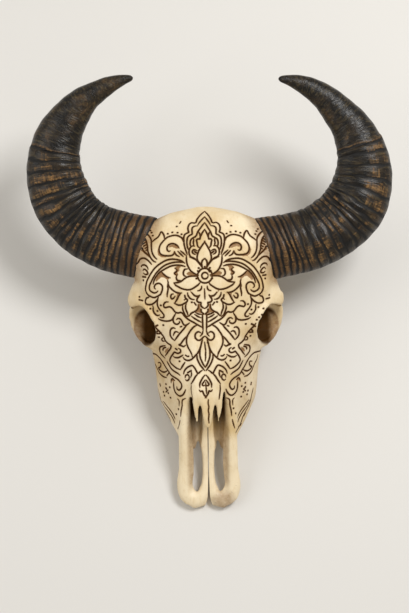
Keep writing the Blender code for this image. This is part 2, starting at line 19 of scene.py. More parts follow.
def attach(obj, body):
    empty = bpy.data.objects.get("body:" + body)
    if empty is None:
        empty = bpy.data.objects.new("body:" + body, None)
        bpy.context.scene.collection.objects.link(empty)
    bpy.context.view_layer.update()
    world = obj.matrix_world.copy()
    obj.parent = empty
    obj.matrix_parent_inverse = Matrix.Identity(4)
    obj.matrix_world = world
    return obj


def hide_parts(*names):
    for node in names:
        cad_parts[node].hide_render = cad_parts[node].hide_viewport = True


bl_info = {
    "name": "Carved Buffalo Skull",
    "version": (1, 0, 0),
    "blender": (4, 5, 0),
    "location": "View3D > Sidebar > Skull",
    "description": "A life-size buffalo skull with a carved face, built piece by piece",
    "category": "Add Mesh",
}

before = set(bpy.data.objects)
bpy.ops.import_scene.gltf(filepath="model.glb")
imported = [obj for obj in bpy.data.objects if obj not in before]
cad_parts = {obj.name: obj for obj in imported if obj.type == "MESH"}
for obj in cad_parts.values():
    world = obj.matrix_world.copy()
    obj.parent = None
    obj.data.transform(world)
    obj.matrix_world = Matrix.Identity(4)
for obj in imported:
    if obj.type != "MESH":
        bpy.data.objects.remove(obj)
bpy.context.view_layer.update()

MM = 0.001
# Where the origin of the face frame lies in the world, and how far the face tilts up towards the crown
FACE_ORIGIN = (-8.86, -343.46, 72.0)
FACE_TILT = math.radians(17.0)
FACE_TO_WORLD = (
    Matrix.Translation([value * MM for value in FACE_ORIGIN])
    @ Matrix.Rotation(FACE_TILT, 4, "X")
    @ Matrix.Scale(MM, 4)
)
FACE_OUT = (FACE_TO_WORLD.to_3x3() @ Vector((0, 0, 1))).normalized()
FACE_UP = (FACE_TO_WORLD.to_3x3() @ Vector((0, 1, 0))).normalized()
# Where the eye stands over the face, and the picture's turn about the line of sight
VIEW_U = -2.5
VIEW_V = 320.8
VIEW_DISTANCE = 2500.0
VIEW_ROLL = math.radians(-0.87)
EYE = FACE_TO_WORLD @ Vector((VIEW_U, VIEW_V, VIEW_DISTANCE))
# The picture's height in pixels, and how much of the face one pixel spans
PICTURE_ROWS = 613
PIXEL = 1.6

BONES = (
    "frontal_bone",
    "braincase",
    "nasal_bone_left",
    "nasal_bone_right",
    "maxilla_left",
    "maxilla_right",
    "premaxilla_left",
    "premaxilla_right",
    "cheekbone_left",
    "cheekbone_right",
)
SIDES = ((1, "left"), (-1, "right"))
CARVED = "carved_"

# Outlines in the face frame, and the depths between which they reach through the bone. Of a pair of outlines
# that mirror each other, the one at +X is given

# Sutures. A cutting block reaches past the bone on the sides where it parts nothing. The muzzle and the
# cheeks are cut from the side, by v and w
NASOFRONTAL = ((0, 268), (14, 262), (27, 250), (31, 236), (45, 226), (65, 214), (80, 206), (135, 206))
# The depth at which that outline lies, and how far back it runs for how far it goes down
NASOFRONTAL_TOP = 30.0
NASOFRONTAL_LEAN = (83.0, -230.0)
FACE_END = ((135, -60), (-135, -60))
PREMAXILLA_SUTURE = ((-40, -24), (196, -24), (100, -112), (-40, -112))
PREMAXILLA_SIDES = (-120.0, 120.0)
NASAL_SUTURE = ((-26.8, 90), (26.8, 330))
NASAL_DEPTHS = (-22.5, 60.0)
CHEEK_SUTURE = ((200, -54), (342, -54), (342, -84), (412, -84), (412, -160), (200, -160))
CHEEK_SIDES = (86.0, 160.0)
FOREHEAD = ((-300, 150), (300, 600))
FOREHEAD_DEPTHS = (-86.0, 120.0)
LEFT_HALF = ((0, -60), (300, 520))
LEFT_HALF_DEPTHS = (-260.0, 120.0)

# The pointed notch in the front edge of the palate, on each side of the middle
PALATE_ARCH = ((12, 60), (12, 84), (13.5, 95), (15, 103), (18, 99), (21, 90), (23, 80), (24, 60))
PALATE_ARCH_DEPTHS = (-140.0, -30.0)
# The inner branch of one bone of the muzzle tip, and the cleft between the two
INNER_BRANCH = (
    (0.2, -4), (0.2, 160), (9, 160), (9.5, 118), (10.5, 107), (12, 92), (10, 80), (9.2, 66), (9.6, 45),
    (11.5, 30), (16, 20), (20, 8), (19, -5), (9, -6),
)
INNER_BRANCH_DEPTHS = (-77.0, -63.5)
CLEFT = ((0.75, 150), (0.85, 45), (1.3, 24), (1.9, 10), (3.4, 2), (6, -5), (10, -14))
CLEFT_DEPTHS = (-140.0, -50.0)
# What is cut off the outer corner of one bulb of the muzzle tip
BULB_CORNER = ((56, 21), (49, 8), (38, -2), (27, -7), (27, -30), (80, -30), (80, 21))
BULB_CORNER_DEPTHS = (-140.0, 0.0)
# The opening of a socket as it is seen from the front
SOCKET_OUTLINE = (
    (118, 300), (114, 287), (109, 274), (101, 264.5), (90, 261.5), (83.5, 267), (81, 280), (84, 296),
    (95, 310), (108, 314), (117, 312),
)
SOCKET_DEPTHS = (-77.0, 30.0)
SOCKET_MIDDLE = (99.0, 288.0)
SOCKET_HALVES = (19.0, 27.0)

# Places on the bone, as spans: an axis, where the place starts along it and where it is full. Along u, both
# sides of the face count

# The outer branches of the muzzle tip, which fall away inwards from a ridge down to a floor
FLANK = (("u", 35, 26), ("u", 17, 22), ("v", 6, 30), ("v", 135, 105))
FLANK_TOP = -30.0
FLANK_FLOOR = -64.0
FLANK_FALL = 0.6
# The brow over each socket, which falls away outwards, past a low swelling
BROW = (("v", 314, 324), ("v", 372, 354))
BROW_FLOOR = -62.0
BROW_SLOPE = (("u", 104, 124),)
BROW_FALL = 8.5
BROW_SWELLING = (("u", 90, 98), ("u", 109, 101))
BROW_RISE = 2.2
# What rounding spares but for a share: the rims of the sockets, to within a share of the socket's size, and
# the tips of the nose
RIM_SHARE = 0.3
RIM_FLOOR = -64.0
NOSE_TIP_HALF = 30.0
NOSE_TIPS = (118.0, 168.0)
NOSE_TIP_FLOOR = -44.0
SPARED = 0.3
# Darkening and its strength: painted shade underneath and under the muzzle, stain and painted shade down
# the cheeks, and old stain inside the muzzle's branches
STAIN_AND_SHADE_PLACES = (
    (0.35, (("w", -70, -120),)),
    (0.22, (("v", 150, 60), ("w", -50, -75))),
    (0.27, (("u", 26, 62), ("v", 332, 275), ("v", 110, 175), ("w", -5, -30))),
    (0.62, (("u", 38, 28), ("u", 17, 21), ("v", 14, 40), ("v", 160, 130))),
)
# One bulb of the muzzle tip is browner than the other: the middle of the patch, where it ends and is full
BROWN_BULB = (24.0, 2.0)
BROWN_BULB_SPAN = (27, 8)
BROWN_BULB_STRENGTH = 0.75
# Stain at the foot of each horn, towards the sheath and along its seat, and brown stain with painted shade
# on the walls of the sockets
SEAT_STAIN = (-24, -1)
SEAT_STAIN_REACH = (68, 52)
SEAT_STAIN_STRENGTH = 0.85
SOCKET_WALL_STAIN_AND_SHADE = (1.2, 1.04)
SOCKET_WALL_STAIN_AND_SHADE_DEPTHS = (-44, -56)
SOCKET_WALL_STAIN_AND_SHADE_STRENGTH = 0.95
# Where the nose gets painted shade: beside its middle wall, and all across further up
NOSE_HOLLOW = (("u", 31, 27), ("v", 112, 150), ("v", 270, 255), ("w", -27, -42))
NOSE_SIDES = (9, 14)
NOSE_ROOF = (140, 158)
# Where a socket gets painted shade: deep in its mouth, on the side towards the nose and at the top
SOCKET_DEEP = (-34, -54)
SOCKET_MOUTH = (1.25, 1.0)
SOCKET_INNER = (13, 1)
SOCKET_UPPER = (300, 313)
# The length of the slow waves that real bone has, in metres
WAVE_LENGTH = 0.028
# The muzzle tip is the cleanest and soundest bone
FRESH_SPAN = (125, 95)

# Horns: u, v and width across the face, read along the middle of each sheath
HORN_LEFT = (
    (99, 414, 105), (141, 421, 102), (178, 431, 102), (208, 447, 103), (233, 467, 105), (251, 492, 104),
    (261, 525, 97), (262, 555, 88), (256.5, 580, 80), (241.5, 612, 68), (222.5, 635, 57), (201, 657, 46),
    (179, 672, 36), (158, 681.5, 27), (139, 686.5, 17), (123, 688.5, 7.5),
)
HORN_RIGHT = (
    (-100, 419, 105), (-140, 428, 104), (-175, 441, 101), (-203, 459, 99), (-226, 486, 100), (-240, 517, 98),
    (-246, 548, 91), (-244, 581, 84), (-234, 610, 76), (-216, 637, 63), (-194, 660, 49), (-173, 673, 37),
    (-151, 684, 28), (-129, 691, 17), (-113, 693.5, 7.5),
)
# Each horn's side, its keys, and the seed for the places of its growth ridges
HORNS = ((1, "left", HORN_LEFT, 4), (-1, "right", HORN_RIGHT, 11))
# The depth of a sheath's middle, and its thickness for its width, by the share of its length
HORN_DEPTH = ((0.0, -52), (0.3, -66), (0.6, -66), (0.85, -48), (1.0, -34))
HORN_FLATNESS = ((0.0, 0.62), (0.4, 0.68), (0.75, 0.82), (1.0, 0.95))
# Points round a sheath and along it
HORN_SIDES = 96
HORN_RINGS = 620
# How much of its length each horn's ridges take up, and how far they step down to the smooth tip
RIDGED_SHARES = {1: 0.60, -1: 0.565}
LEDGE_DROP = 1.1
# The spaces between ridges: the first one's share of the mean, what they gain by the last, and how far chance
# goes down and up. Then the least and the greatest share for a ridge's height
FIRST_SPACE = 0.75
SPACE_GAIN = 0.5
RIDGE_SPACES = (0.65, 1.35)
RIDGE_HEIGHTS = (0.35, 1.0)
# Waves of a ridge's edge: their height as a share of the horn's length, how many go round the horn, where
# they start, and how they drift along it
RIDGE_WAVES = ((0.0060, 1, 4, 7), (0.0032, 2, 0, 31), (0.0018, 5, 0, 67), (0.0009, 11, 0, 190))
# How much of a ridge lies under the sheath's outline, and the height of the lumps in between, in millimetres
RIDGE_SUNK = 0.45
LUMP = 0.5
# Below this half width the ridges and lumps get lower, down to this share
SLIM = 40.0
SLIM_SHARE = 0.25
# Where round the sheath its ridges start to be worn away and are most worn, and how much of them goes: along
# the outer curve, then along the inner one
OUTER_WEAR = (0.45, 0.95)
OUTER_WORN = 0.85
INNER_WEAR = (0.7, 1.0)
INNER_WORN = 0.5
# The pattern lies on a straight round sheath of this radius, so that it isn't stretched where the horn bends
ROLLED_RADIUS = 50.0
# How far a sheath overlaps the bone at its foot and how fast that fades, how its foot leans, and for what
# share of its length
RIM_OVERLAP = 4.0
OVERLAP_FADE = 24
SEAT_TURN = math.radians(8.0)
LEANING_SHARE = 0.2
# Where the tip starts to be rounded off, and how far: 1 would end in a point
BLUNT_SHARE = 0.988
BLUNT_END = 0.96
# The share of the length over which a sheath's direction is taken
GLANCE = 1e-3

# Cheek teeth, in millimetres: width across, length along the row, how far out the row's middle runs, and
# whether it is a molar
TEETH = (
    (15, 17, 41, False),
    (17, 18, 45, False),
    (19, 19, 49, False),
    (22, 24, 53, True),
    (23, 27, 55, True),
    (21, 29, 54, True),
)

# A tooth's crown of unit size: rings of points up its side, how square it is, its ribs, its folds, how much
# flatter it is inside, the width of the enamel, how deep the dentine lies, and the ring of a lake in it
CROWN_LEVELS = (0.12, 0.35, 0.6, 0.85)
CROWN_SQUARE = 0.6
CROWN_RIB = 0.045
CROWN_FOLD = 0.09
CROWN_FLAT = 0.05
ENAMEL_WIDTH = 0.055
DENTINE_DEPTH = 0.035
LAKE_RADII = (0.17, 0.045)
LAKES_APART = 0.46

# Meshing and shading: points closer than the first are one, in metres; how far round a stroke the mesh is
# made finer, in millimetres; and the sharpest edges that are still shaded as rounded
WELDED = 1e-6
REFINED_REACH = 1.6
ROUNDED_ANGLE = math.radians(60)
TOOTH_ANGLE = math.radians(35)

# The stage: its floor, and where the lights look, in the face frame. Each light has its place from there, in
# metres, its width, and its share of the large light's power
FLOOR_SIZE = 9.0
SKY = "#F6F1E8"
LIGHTS_AIM = (0, 330, -40)
LIGHTS = (
    ("key_light", (1.25, 1.3, 2.1), 1.1, 1.0),
    ("side_light", (-1.9, 0.4, 1.5), 2.0, 0.32),
)

# Carving. Each stroke is read on the side away from +X, as distance from the middle and height, and is then
# also drawn mirrored. The carver's free hand shifted the two sides: by height, the shift on the side away
# from +X, near the middle line and on the +X side
HAND_SHIFTS = (
    (130, 0.9, -5.2, -6.0),
    (200, 0.9, -5.2, -6.0),
    (240, 0.9, -5.2, -7.0),
    (275, 0.9, -5.2, -6.8),
    (320, 0.8, -4.4, -6.2),
    (370, 0.5, -3.0, -4.8),
    (425, -0.2, -1.4, -2.9),
    (473, -0.7, 0.0, -1.9),
)
# How far from the middle line a stroke takes on its side's shift, and how much lower it then lies
MIDDLE_REACH = 12.0
SETTLE = -0.8
SHIFT_CURVES = [([row[0] for row in HAND_SHIFTS], [row[k] for row in HAND_SHIFTS]) for k in (1, 2, 3)]

CROWN_PALMETTE = (
    ((0, 473.4), (6.8, 467.4), (11.9, 461), (13.7, 456.4), (16.2, 455.3), (20.4, 455.9), (24.3, 453.5),
     (26.5, 448.9), (26.6, 443.9), (25.6, 440.7), (28.5, 439.3), (32.1, 437.1), (33.7, 432.5), (33.8, 426.8),
     (33.4, 421.1), (32, 414.7), (30, 408.3), (29, 404.8)),
    ((0, 464.5), (4.7, 459.9), (9, 454.9), (10.8, 452.1)),
    ((11.5, 450.7), (16.2, 450.2), (19.4, 448.2), (20.4, 444.6), (20.2, 440.3), (20.5, 437.5), (24.2, 435.7),
     (27.5, 432.5), (28.7, 428.3), (29, 422.6), (28.3, 416.9), (26.6, 411.9)),
    ((0, 455.3), (3.3, 451.7), (6.9, 446.8), (10.6, 442.1), (12, 439.5), (13.6, 435.4), (15.7, 433.2),
     (18.6, 431.8), (22.2, 429), (23.8, 424), (23.4, 419), (22.4, 416.2)),
    ((10.6, 442), (8, 437), (7.8, 432)),
    ((0, 444.6), (3.4, 440.3), (6, 435.4), (7.8, 431.8), (8.2, 429.3), (11.4, 429.7), (13.5, 427.5),
     (12.8, 424), (12.5, 420.4), (11.1, 417.2), (8.7, 415.1)),
    ((18.6, 431.8), (18, 428.3), (18.7, 424), (18, 419.7), (16.7, 418.3)),
)
FLOWER = (
    ((17.4, 418.3), (21.3, 418.3), (24.6, 414.7), (26, 409.8), (25.4, 404.8), (23.3, 401.2), (19, 399.5),
     (14.9, 397)),
    ((13.2, 410.8), (16.7, 412.6), (19.6, 411.9), (20.7, 409), (19.3, 406.6), (16.1, 404.8)),
    ((16.8, 409.4), (13.3, 406.9)),
    ((0, 425.4), (3.1, 421.1), (6.7, 416.2), (10.4, 410.5), (12.5, 404.8), (13.4, 399.8), (12.4, 394.8),
     (9.3, 390.6), (6.5, 387.4), (5.5, 383.4)),
    ((0, 397.7), (4.1, 395.5), (6, 391.3), (5.8, 386.3), (4.7, 382)),
    ((30.3, 403.4), (30.5, 397), (29.8, 390.6), (27.7, 384.9), (24.3, 379.2), (20, 375.6), (15.9, 373.1),
     (11.7, 371.7)),
    ((25.4, 401.2), (19, 398.5), (15, 396.3), (11.5, 392), (8, 387.7), (5.8, 383.4)),
    ((13, 378.5), (11, 377), (8.7, 379.9), (6, 381.5)),
    ((51.7, 360), (46.6, 360.3), (43, 361), (38.7, 363), (34.5, 366.4), (30.2, 368.9), (25.2, 370.3),
     (18.8, 370.6), (12.8, 370)),
    ((51.7, 360), (48.9, 356.4), (44.6, 353.6), (39, 350.7), (33.3, 349), (28.3, 348.6), (22.6, 350),
     (17.6, 352.9), (12.6, 356.4), (9.7, 359.6)),
    ((60.5, 360), (59.7, 355.2), (56.3, 351), (51.4, 346.7), (46.4, 344.2), (42.2, 343.5), (39.3, 343.8)),
    ((6.9, 353.8), (7.3, 350.2), (10.1, 347.4), (13.7, 346.7)),
)
VOLUTES = (
    ((34.8, 426.1), (36.4, 431.1), (40, 433.9), (44.2, 435.7), (49.2, 436.1), (54.9, 435), (59.9, 433.2),
     (63.9, 430), (67.8, 426.1), (70.7, 422.6), (72.9, 418.3), (73.8, 413.3), (73, 409), (70.3, 405.5),
     (65.3, 403.9), (59.7, 403.4), (54, 403.9), (50.7, 406.2), (49.4, 410.1)),
    ((41.7, 415.5), (43.7, 418.7), (47.2, 421.5), (51.5, 422.8), (56.1, 422.2), (59.9, 419.4), (61.1, 415.8),
     (60.6, 412.6), (58.3, 410.6), (55.9, 411.5)),
    ((48.9, 409.8), (46.8, 404.8), (41.8, 401.9)),
    ((43.9, 410.5), (39.7, 406.2), (35.4, 401.9)),
    ((39.6, 411.2), (35.3, 407.6), (31.8, 404.1)),
    ((84.5, 426.1), (80.6, 429.7), (75.6, 433.2), (72.4, 437.5), (70.6, 441.4), (69.3, 442.1), (67.4, 440.3),
     (65.3, 436.1), (64.6, 431.8), (63.9, 430)),
)
TEMPLES = (
    ((99.6, 441.1), (94.7, 440.3), (90.8, 437.5), (87.6, 433.2), (85.9, 428.3), (86, 421.9), (86, 416.2),
     (85.4, 410.5), (83.3, 404.8), (80.2, 400.5), (77.7, 398.4)),
    ((103.3, 434.7), (99, 434), (95.8, 431.1), (93.8, 426.8), (92.8, 421.9), (92, 417), (92, 412),
     (90.5, 407.6), (88.7, 402.7), (86, 398.4), (82.4, 394.8), (79.5, 393.8)),
    ((110.4, 416.2), (100.5, 416.2), (99.8, 413.3), (96.3, 409), (91.7, 404.8), (89.3, 401.9)),
    ((111, 390.6), (108, 393.4), (104.6, 398.4), (101, 400.2), (96.8, 399.8), (92.5, 397), (89, 393.4),
     (86.5, 390.2)),
    ((103.2, 386.3), (101.8, 388.8), (98.6, 389.5), (95.4, 388.1), (93, 385.2), (92.3, 382)),
    ((100.5, 380.6), (98.7, 382.7), (95.9, 381.3), (93.1, 377.8), (93, 374.9), (96.9, 374.2), (99.8, 376.3)),
    ((101.3, 370.7), (96.3, 370)),
)
SWEEPING_ARCS = (
    ((33.4, 391.3), (37, 394.1), (42, 396.4), (47.6, 397.5), (54, 398), (59.7, 397.3), (65.4, 395.2),
     (71.1, 392), (76.9, 388.1), (82.3, 383.1), (87, 377), (90.6, 371.4), (94.3, 364.2), (96.2, 357.1),
     (97.2, 350), (95.5, 344.5), (92.7, 341), (87, 337.8), (83.6, 337), (80, 338.1), (73.7, 341.7),
     (71.4, 346), (70, 351), (70.5, 355.7), (73, 358.6), (76.4, 359.6), (80, 358.6), (82.5, 355.7),
     (82.9, 352.2), (81.1, 350.7)),
    ((34.5, 392.3), (41.2, 393.3), (49, 393), (56.2, 391.6), (62.6, 389.5), (68.3, 386.3), (74, 381.7),
     (79.8, 375.6), (84.1, 369.2), (87.8, 362.1), (90.7, 355.7), (90.4, 349.5), (87.6, 346.3), (83.4, 344.5),
     (79.8, 345.2), (77.3, 347.4)),
    ((32.9, 385.9), (37.8, 387.4), (44.2, 388.3), (49.9, 388.1), (56.3, 386.7), (62.8, 383.8), (68.5, 380.6),
     (74, 377), (79, 371.5), (83, 364.5), (84.8, 358.5)),
    ((71.3, 378.5), (67.5, 374), (62, 369.7), (57, 368)),
    ((61.5, 364.2), (60.5, 360), (61.5, 354.3), (61, 351), (61.6, 346.7), (62.7, 341.7), (62.6, 337.8)),
)
LEAVES = (
    ((49.3, 383.5), (46, 380.6), (47.2, 377.8), (50.2, 375.6), (48, 372.8), (45.2, 372.8)),
    ((46.7, 372), (47.4, 367.8), (46, 364.2), (41.7, 363.2), (38.2, 363.2), (36, 364.6)),
    ((29.2, 382), (33.5, 381.3), (35.6, 377.8), (36, 374.2), (34.6, 371), (32.1, 370.3)),
    ((23.5, 344.5), (20.7, 341), (17.9, 338.5), (13.7, 338.1), (10.2, 339.9)),
    ((30, 343.8), (29.3, 339.6), (26.5, 335.3), (23, 333.2), (19.4, 332.8)),
    ((10.2, 339.9), (12.4, 337.1), (14.5, 334.6), (15.3, 331), (12.5, 328.2), (8.6, 327.5), (9, 323.9),
     (6.9, 320.3), (2.7, 317.5)),
    ((8.8, 316.8), (8.4, 313.2), (4.2, 309)),
    ((13.4, 324.6), (13.5, 319.6), (16.4, 315.4), (20, 313.2), (24.3, 311.1), (27.9, 306.8), (29.7, 306.1)),
    ((32.5, 326.8), (33.6, 322.5), (33.3, 317.5), (31.3, 312.5), (29.9, 307.5)),
    ((38.2, 323.2), (38.3, 318.2), (36.5, 312.5), (34.1, 307.5), (30.6, 305.4)),
    ((51.8, 327.5), (49, 326), (44.8, 324.3), (39.8, 324.6), (35.5, 326.8), (31.9, 328.9), (30.4, 332.4),
     (33.2, 333.9), (35.4, 332.4)),
    ((34.5, 339.6), (33.8, 336), (31.8, 333.9)),
    ((40.2, 343.5), (43.5, 340.3), (45.7, 336), (47.9, 332.1), (50.8, 327.8)),
    ((52.7, 342.4), (55.5, 341.7), (57, 338.1), (55.6, 334.6), (52.8, 335.3), (49.9, 338.8)),
)
STEM = (
    ((6.3, 309.7), (6.5, 301.1), (6.3, 294.8), (6.1, 286.9), (5.8, 282.7)),
    ((24.2, 306.1), (20.7, 303.3), (15, 299.7), (8.7, 296.2)),
    ((19.2, 309), (15, 306.1), (9.3, 303.3)),
    ((17.8, 311.8), (13, 309.7), (8, 308.3)),
)
CHEEK_SCROLLS = (
    ((90.6, 339.2), (92.7, 337.4), (95.6, 336.4), (97.4, 333.2), (97.8, 329.6), (96.1, 326.8), (91.5, 325.7),
     (87.3, 326.4), (83, 328.9), (80.1, 331.7), (77.9, 334.6), (76.9, 338.5)),
    ((76.9, 338.5), (78, 334.6), (78.8, 329.6), (78.5, 324.6), (76.8, 320.3), (74, 316.1), (70.5, 311.8),
     (68.4, 308.3), (69.2, 305.1), (72.8, 304.6), (74.5, 305.4)),
    ((86, 323.9), (85.4, 321.1), (85.6, 316.8), (83.9, 312.5), (81.1, 309.3), (78.3, 308.1), (75.4, 309)),
    ((61.2, 329.6), (64.4, 329.6), (67.3, 327.8), (68.8, 323.9), (66.7, 320.7), (62.4, 321.4), (58.9, 321.8),
     (55.4, 319.6), (52.6, 316.1), (49.8, 312.9), (45.6, 311.8), (41.3, 312.5), (38.5, 310.7), (35.7, 306.8),
     (32.2, 303.3), (27.3, 299.7), (21, 296.2), (15.4, 292.6), (10.5, 289.8), (7, 287.6)),
    ((77.3, 302.9), (73.4, 300.8), (68.4, 299.4), (63.4, 299), (58.5, 299.7), (54.9, 301.9), (53.1, 305.4),
     (51.2, 308.3), (49.8, 311)),
    ((48.5, 301.1), (46.3, 302.9), (42.8, 302.2), (40, 299), (38.6, 295.5), (36.6, 292.6), (33.7, 291.9),
     (30.8, 293.3), (27.9, 295.5)),
    ((51.9, 308.3), (53.4, 304), (53.8, 299), (52.1, 295.5), (48.6, 293.7), (45, 294.8), (43.6, 296.9),
     (44, 298.3)),
    ((32.3, 291.9), (35.9, 287.6), (40.2, 282.7), (44.6, 277.7), (48.9, 272), (52.2, 267.7)),
    ((52.2, 267.7), (56, 271.3), (58.5, 275.5), (59.1, 280.5), (58.3, 284.8), (55.8, 287.6), (53, 288),
     (50.8, 286.9)),
    ((54.2, 275.5), (53.1, 278.4), (51.3, 281.2), (48.8, 281.9), (46, 280.5)),
    ((85.9, 293.3), (81.8, 288.3), (76.9, 283.4), (72.7, 278.4), (69.2, 273.4), (67.2, 268.4), (63, 263.5),
     (58.2, 259.9), (58.6, 255.6), (61.9, 251.4), (64.8, 247.1), (67.4, 243.5)),
    ((67.2, 259.9), (71.5, 259.2), (75.1, 257.8), (76.2, 254.2), (75.3, 249.2), (72.6, 245), (67.7, 240)),
    ((66.6, 257.1), (70.2, 255.6), (71, 252.8)),
    ((76, 279), (79.5, 279.5), (80.5, 282), (78, 283.5)),
    ((68, 267), (71.5, 267.5), (72.5, 270.5), (70, 273)),
    ((100.3, 255.6), (96.8, 252.1), (92, 249.2), (87, 247.8), (82.8, 246.4), (77.9, 242.1), (73.7, 237.1),
     (70.9, 231.4)),
    ((88.6, 243.2), (87.1, 236.8), (84, 231.2), (80.9, 224.8), (77.8, 217.6), (73.9, 212.8), (69.9, 210),
     (65.9, 208.8)),
    ((79, 232.8), (75.9, 232.8), (74.4, 229.6), (76, 225.6), (78.4, 224), (75.3, 220), (70.5, 217.6),
     (66.5, 218.4), (64.1, 220)),
)
TEARDROP = (
    ((15.3, 291.9), (19.5, 290.1), (23, 287.3), (26.7, 282.7), (29.6, 278.4), (31.8, 274.1), (33, 269.1),
     (33, 264.2), (32, 259.9), (29.9, 254.9), (27.2, 249.9), (25, 245), (24.5, 242.1)),
    ((7, 268.8), (8.5, 264.2), (10, 258.5), (12.3, 252.8), (15.2, 247.8), (18.8, 243.5), (22.3, 240.7),
     (24.5, 241.4)),
    ((5.8, 282.7), (6.8, 279.1), (8.3, 276.3), (11, 274)),
    ((10, 279.1), (13.2, 281.2), (16.8, 279.8), (19, 276.3), (18.7, 271.3), (15.5, 268.1), (12, 267.6),
     (8.5, 269.5), (5.3, 272.3), (2.8, 273.5)),
)
NASAL_SCROLLS = (
    ((33.2, 273.8), (36, 270.6), (39, 267), (42.6, 262), (45.1, 260.6), (41.2, 259.2), (37.7, 257.8),
     (34.8, 259.9)),
    ((50.9, 254.8), (48.5, 253.2)),
    ((46, 255.2), (43, 252.8), (42.9, 249.4), (46.1, 247.2), (49.7, 247.8), (52.4, 249), (55.7, 245.2),
     (58.7, 240.8), (60.2, 236), (58.7, 232), (55.1, 228), (49.6, 223.6), (44, 221.2)),
    ((54.6, 242.4), (51, 240.4), (46.2, 240.4), (42.2, 242.4), (39, 244.4)),
    ((39, 240.8), (36.7, 237.6), (31.9, 235.6), (27.1, 236.4), (23.1, 239.2), (19.2, 243.2), (16, 247.2)),
    ((36, 232.8), (39.2, 228), (41.7, 224), (43.7, 221)),
    ((64.7, 234.4), (61.6, 228.8), (57.7, 222.4), (53, 218.4), (47.4, 214.8), (44.3, 212)),
    ((71.9, 235.2), (68, 227.2), (63.3, 220), (58.6, 212.8), (53, 208.8), (48.3, 205.6), (44.4, 201.6),
     (41.9, 196.8), (42.4, 192), (45.8, 188.4), (49, 190), (49.6, 193.6)),
    ((54.7, 200.8), (54.4, 192.8), (52.5, 185.6), (48.6, 180.8), (44.6, 178.8), (40.6, 180.4), (37.4, 184.8),
     (35.7, 188.8)),
    ((58.7, 200.8), (58.3, 204.8), (56.2, 206.8), (53, 204)),
    ((38.6, 214), (37, 219.2), (32.9, 224), (28.1, 226.6), (24.3, 227.2), (20.9, 223.6), (18.2, 218.8),
     (15.4, 214.4), (11.4, 217.6), (8.2, 219.2)),
    ((15.4, 214.4), (19.5, 209.6), (22.8, 204), (27, 197.6)),
    ((36.2, 208), (35.4, 211.2), (32.3, 212.8), (29.9, 210.4), (30, 205.6), (33.2, 203.2), (35.6, 204.8)),
    ((26.2, 219.2), (29, 217.6), (32, 216)),
    ((26.2, 219.2), (25.9, 212.8), (27.5, 208)),
)
MUZZLE_LINES = (
    ((48.8, 174.4), (46.4, 171.2), (46.5, 163.2)),
    ((36, 174.8), (40, 173.2), (41.6, 170.4), (41.7, 163.2), (43.4, 155.2), (44.3, 146.4)),
    ((45.3, 140), (46.9, 132.8), (49, 126.4)),
    ((73.7, 170.4), (69, 161.6), (64.2, 155.2), (58.7, 147.2), (55.6, 140.8), (54, 136)),
    ((72, 171.2), (65.8, 163.2), (60.3, 156), (56.3, 149.6), (53.2, 142.4)),
    ((79.5, 190), (76.5, 178), (73.5, 166), (69, 157), (62.5, 145), (58.5, 134), (50.5, 119)),
    ((58.5, 131), (55, 128.5)),
    ((66, 150), (64, 146)),
    ((26.5, 196), (26.8, 189), (25.8, 181), (24.6, 173)),
)
LENS = (
    ((9, 260), (11.3, 254), (12, 248.8), (11.8, 241.6), (9.6, 235.2), (6.5, 228.8), (2.9, 223.2)),
    ((16.5, 245.6), (16.6, 239.2), (14.3, 232.8), (11.2, 227.2), (7.3, 222.4), (4.2, 218.4)),
    ((4, 211.2), (7.6, 207.2), (10.7, 202.4), (12.8, 197.6), (12.8, 192)),
    ((13.8, 188), (11.8, 185.6), (8.6, 186), (7.1, 182.4), (4.7, 178.4), (1.6, 174.4)),
    ((3.7, 203.2), (6.9, 199.2), (8.5, 196.8), (6.9, 194.4), (3.8, 195.2)),
)
HATCHES = (
    ((102.5, 429), (97.5, 432.5)),
    ((100, 426.5), (95.5, 429.5)),
    ((99.5, 423), (94.5, 426)),
    ((96, 416), (92.5, 418)),
    ((98.5, 419.5), (93.5, 422)),
    ((103.5, 431.5), (100, 434)),
    ((94.5, 412.8), (91.8, 414.5)),
    ((37.9, 458.1), (39.7, 455.3)),
    ((107.8, 333.9), (102, 332.4)),
    ((42.5, 289.5), (40.5, 290.2)),
    ((65.2, 212), (62, 216)),
    ((35, 244), (31.8, 242), (29.8, 242.4)),
    ((19.5, 328), (16.8, 324)),
    ((67.1, 185.6), (63.9, 188.8)),
)
# Drawn once, where they lie
CENTRE_LINES = (
    ((-2.2, 349), (-2, 344), (-1.8, 338), (-1.6, 332)),
    ((-3.2, 264), (-2.4, 255), (-1.8, 249), (-2, 240), (-2.8, 233)),
    ((-2, 250), (-2.1, 244), (-2.4, 238)),
    ((-2.6, 200), (-1.9, 190), (-1.3, 181)),
    ((1.5, 172), (0.9, 166), (1.9, 160), (1.1, 154), (2.0, 148), (1.3, 141), (2.0, 134)),
)
DOTS = (
    (11.2, 383.1), (15.2, 366.4), (93.1, 413.3), (100.3, 365), (92, 446), (87, 444.3), (85, 441),
    (83.3, 436.2), (59.3, 438.8), (51.9, 441), (43.5, 440.3), (37.2, 437.7), (44.5, 450.3), (23.5, 328.5),
    (78.8, 315.4), (90, 319.3), (73.2, 324.3), (107, 338.5), (69.8, 292.6), (44.7, 234.4), (76.5, 198.4),
    (66.9, 198.4), (61, 193.2), (67, 192), (58.9, 132.8), (84.6, 288.6), (79.2, 292.4), (81.4, 291.3),
    (74.3, 280.6), (80.3, 279.4), (77.1, 273.4), (76, 196), (66.2, 190.5), (71, 186), (63.5, 184),
    (69.5, 180), (60, 176.5), (47.5, 158), (51, 150), (95.5, 307), (91, 303), (87.3, 299), (98, 317),
)
# Half the length of a dot
DOT_HALF = 0.3
# The round boss in the middle of the flower, its two rings, and the height of the bead over it
BOSS = (-1.1, 370.0)
BOSS_RINGS = (5.1, 11.7)
BEAD_HEIGHT = 384.2
# Widths of strokes, as shares of the usual one
FINE = 0.85
CENTRE = 0.8
DOT = 1.1
# A stroke ends where the bone is more of a hollow than this
WALLED = 0.3
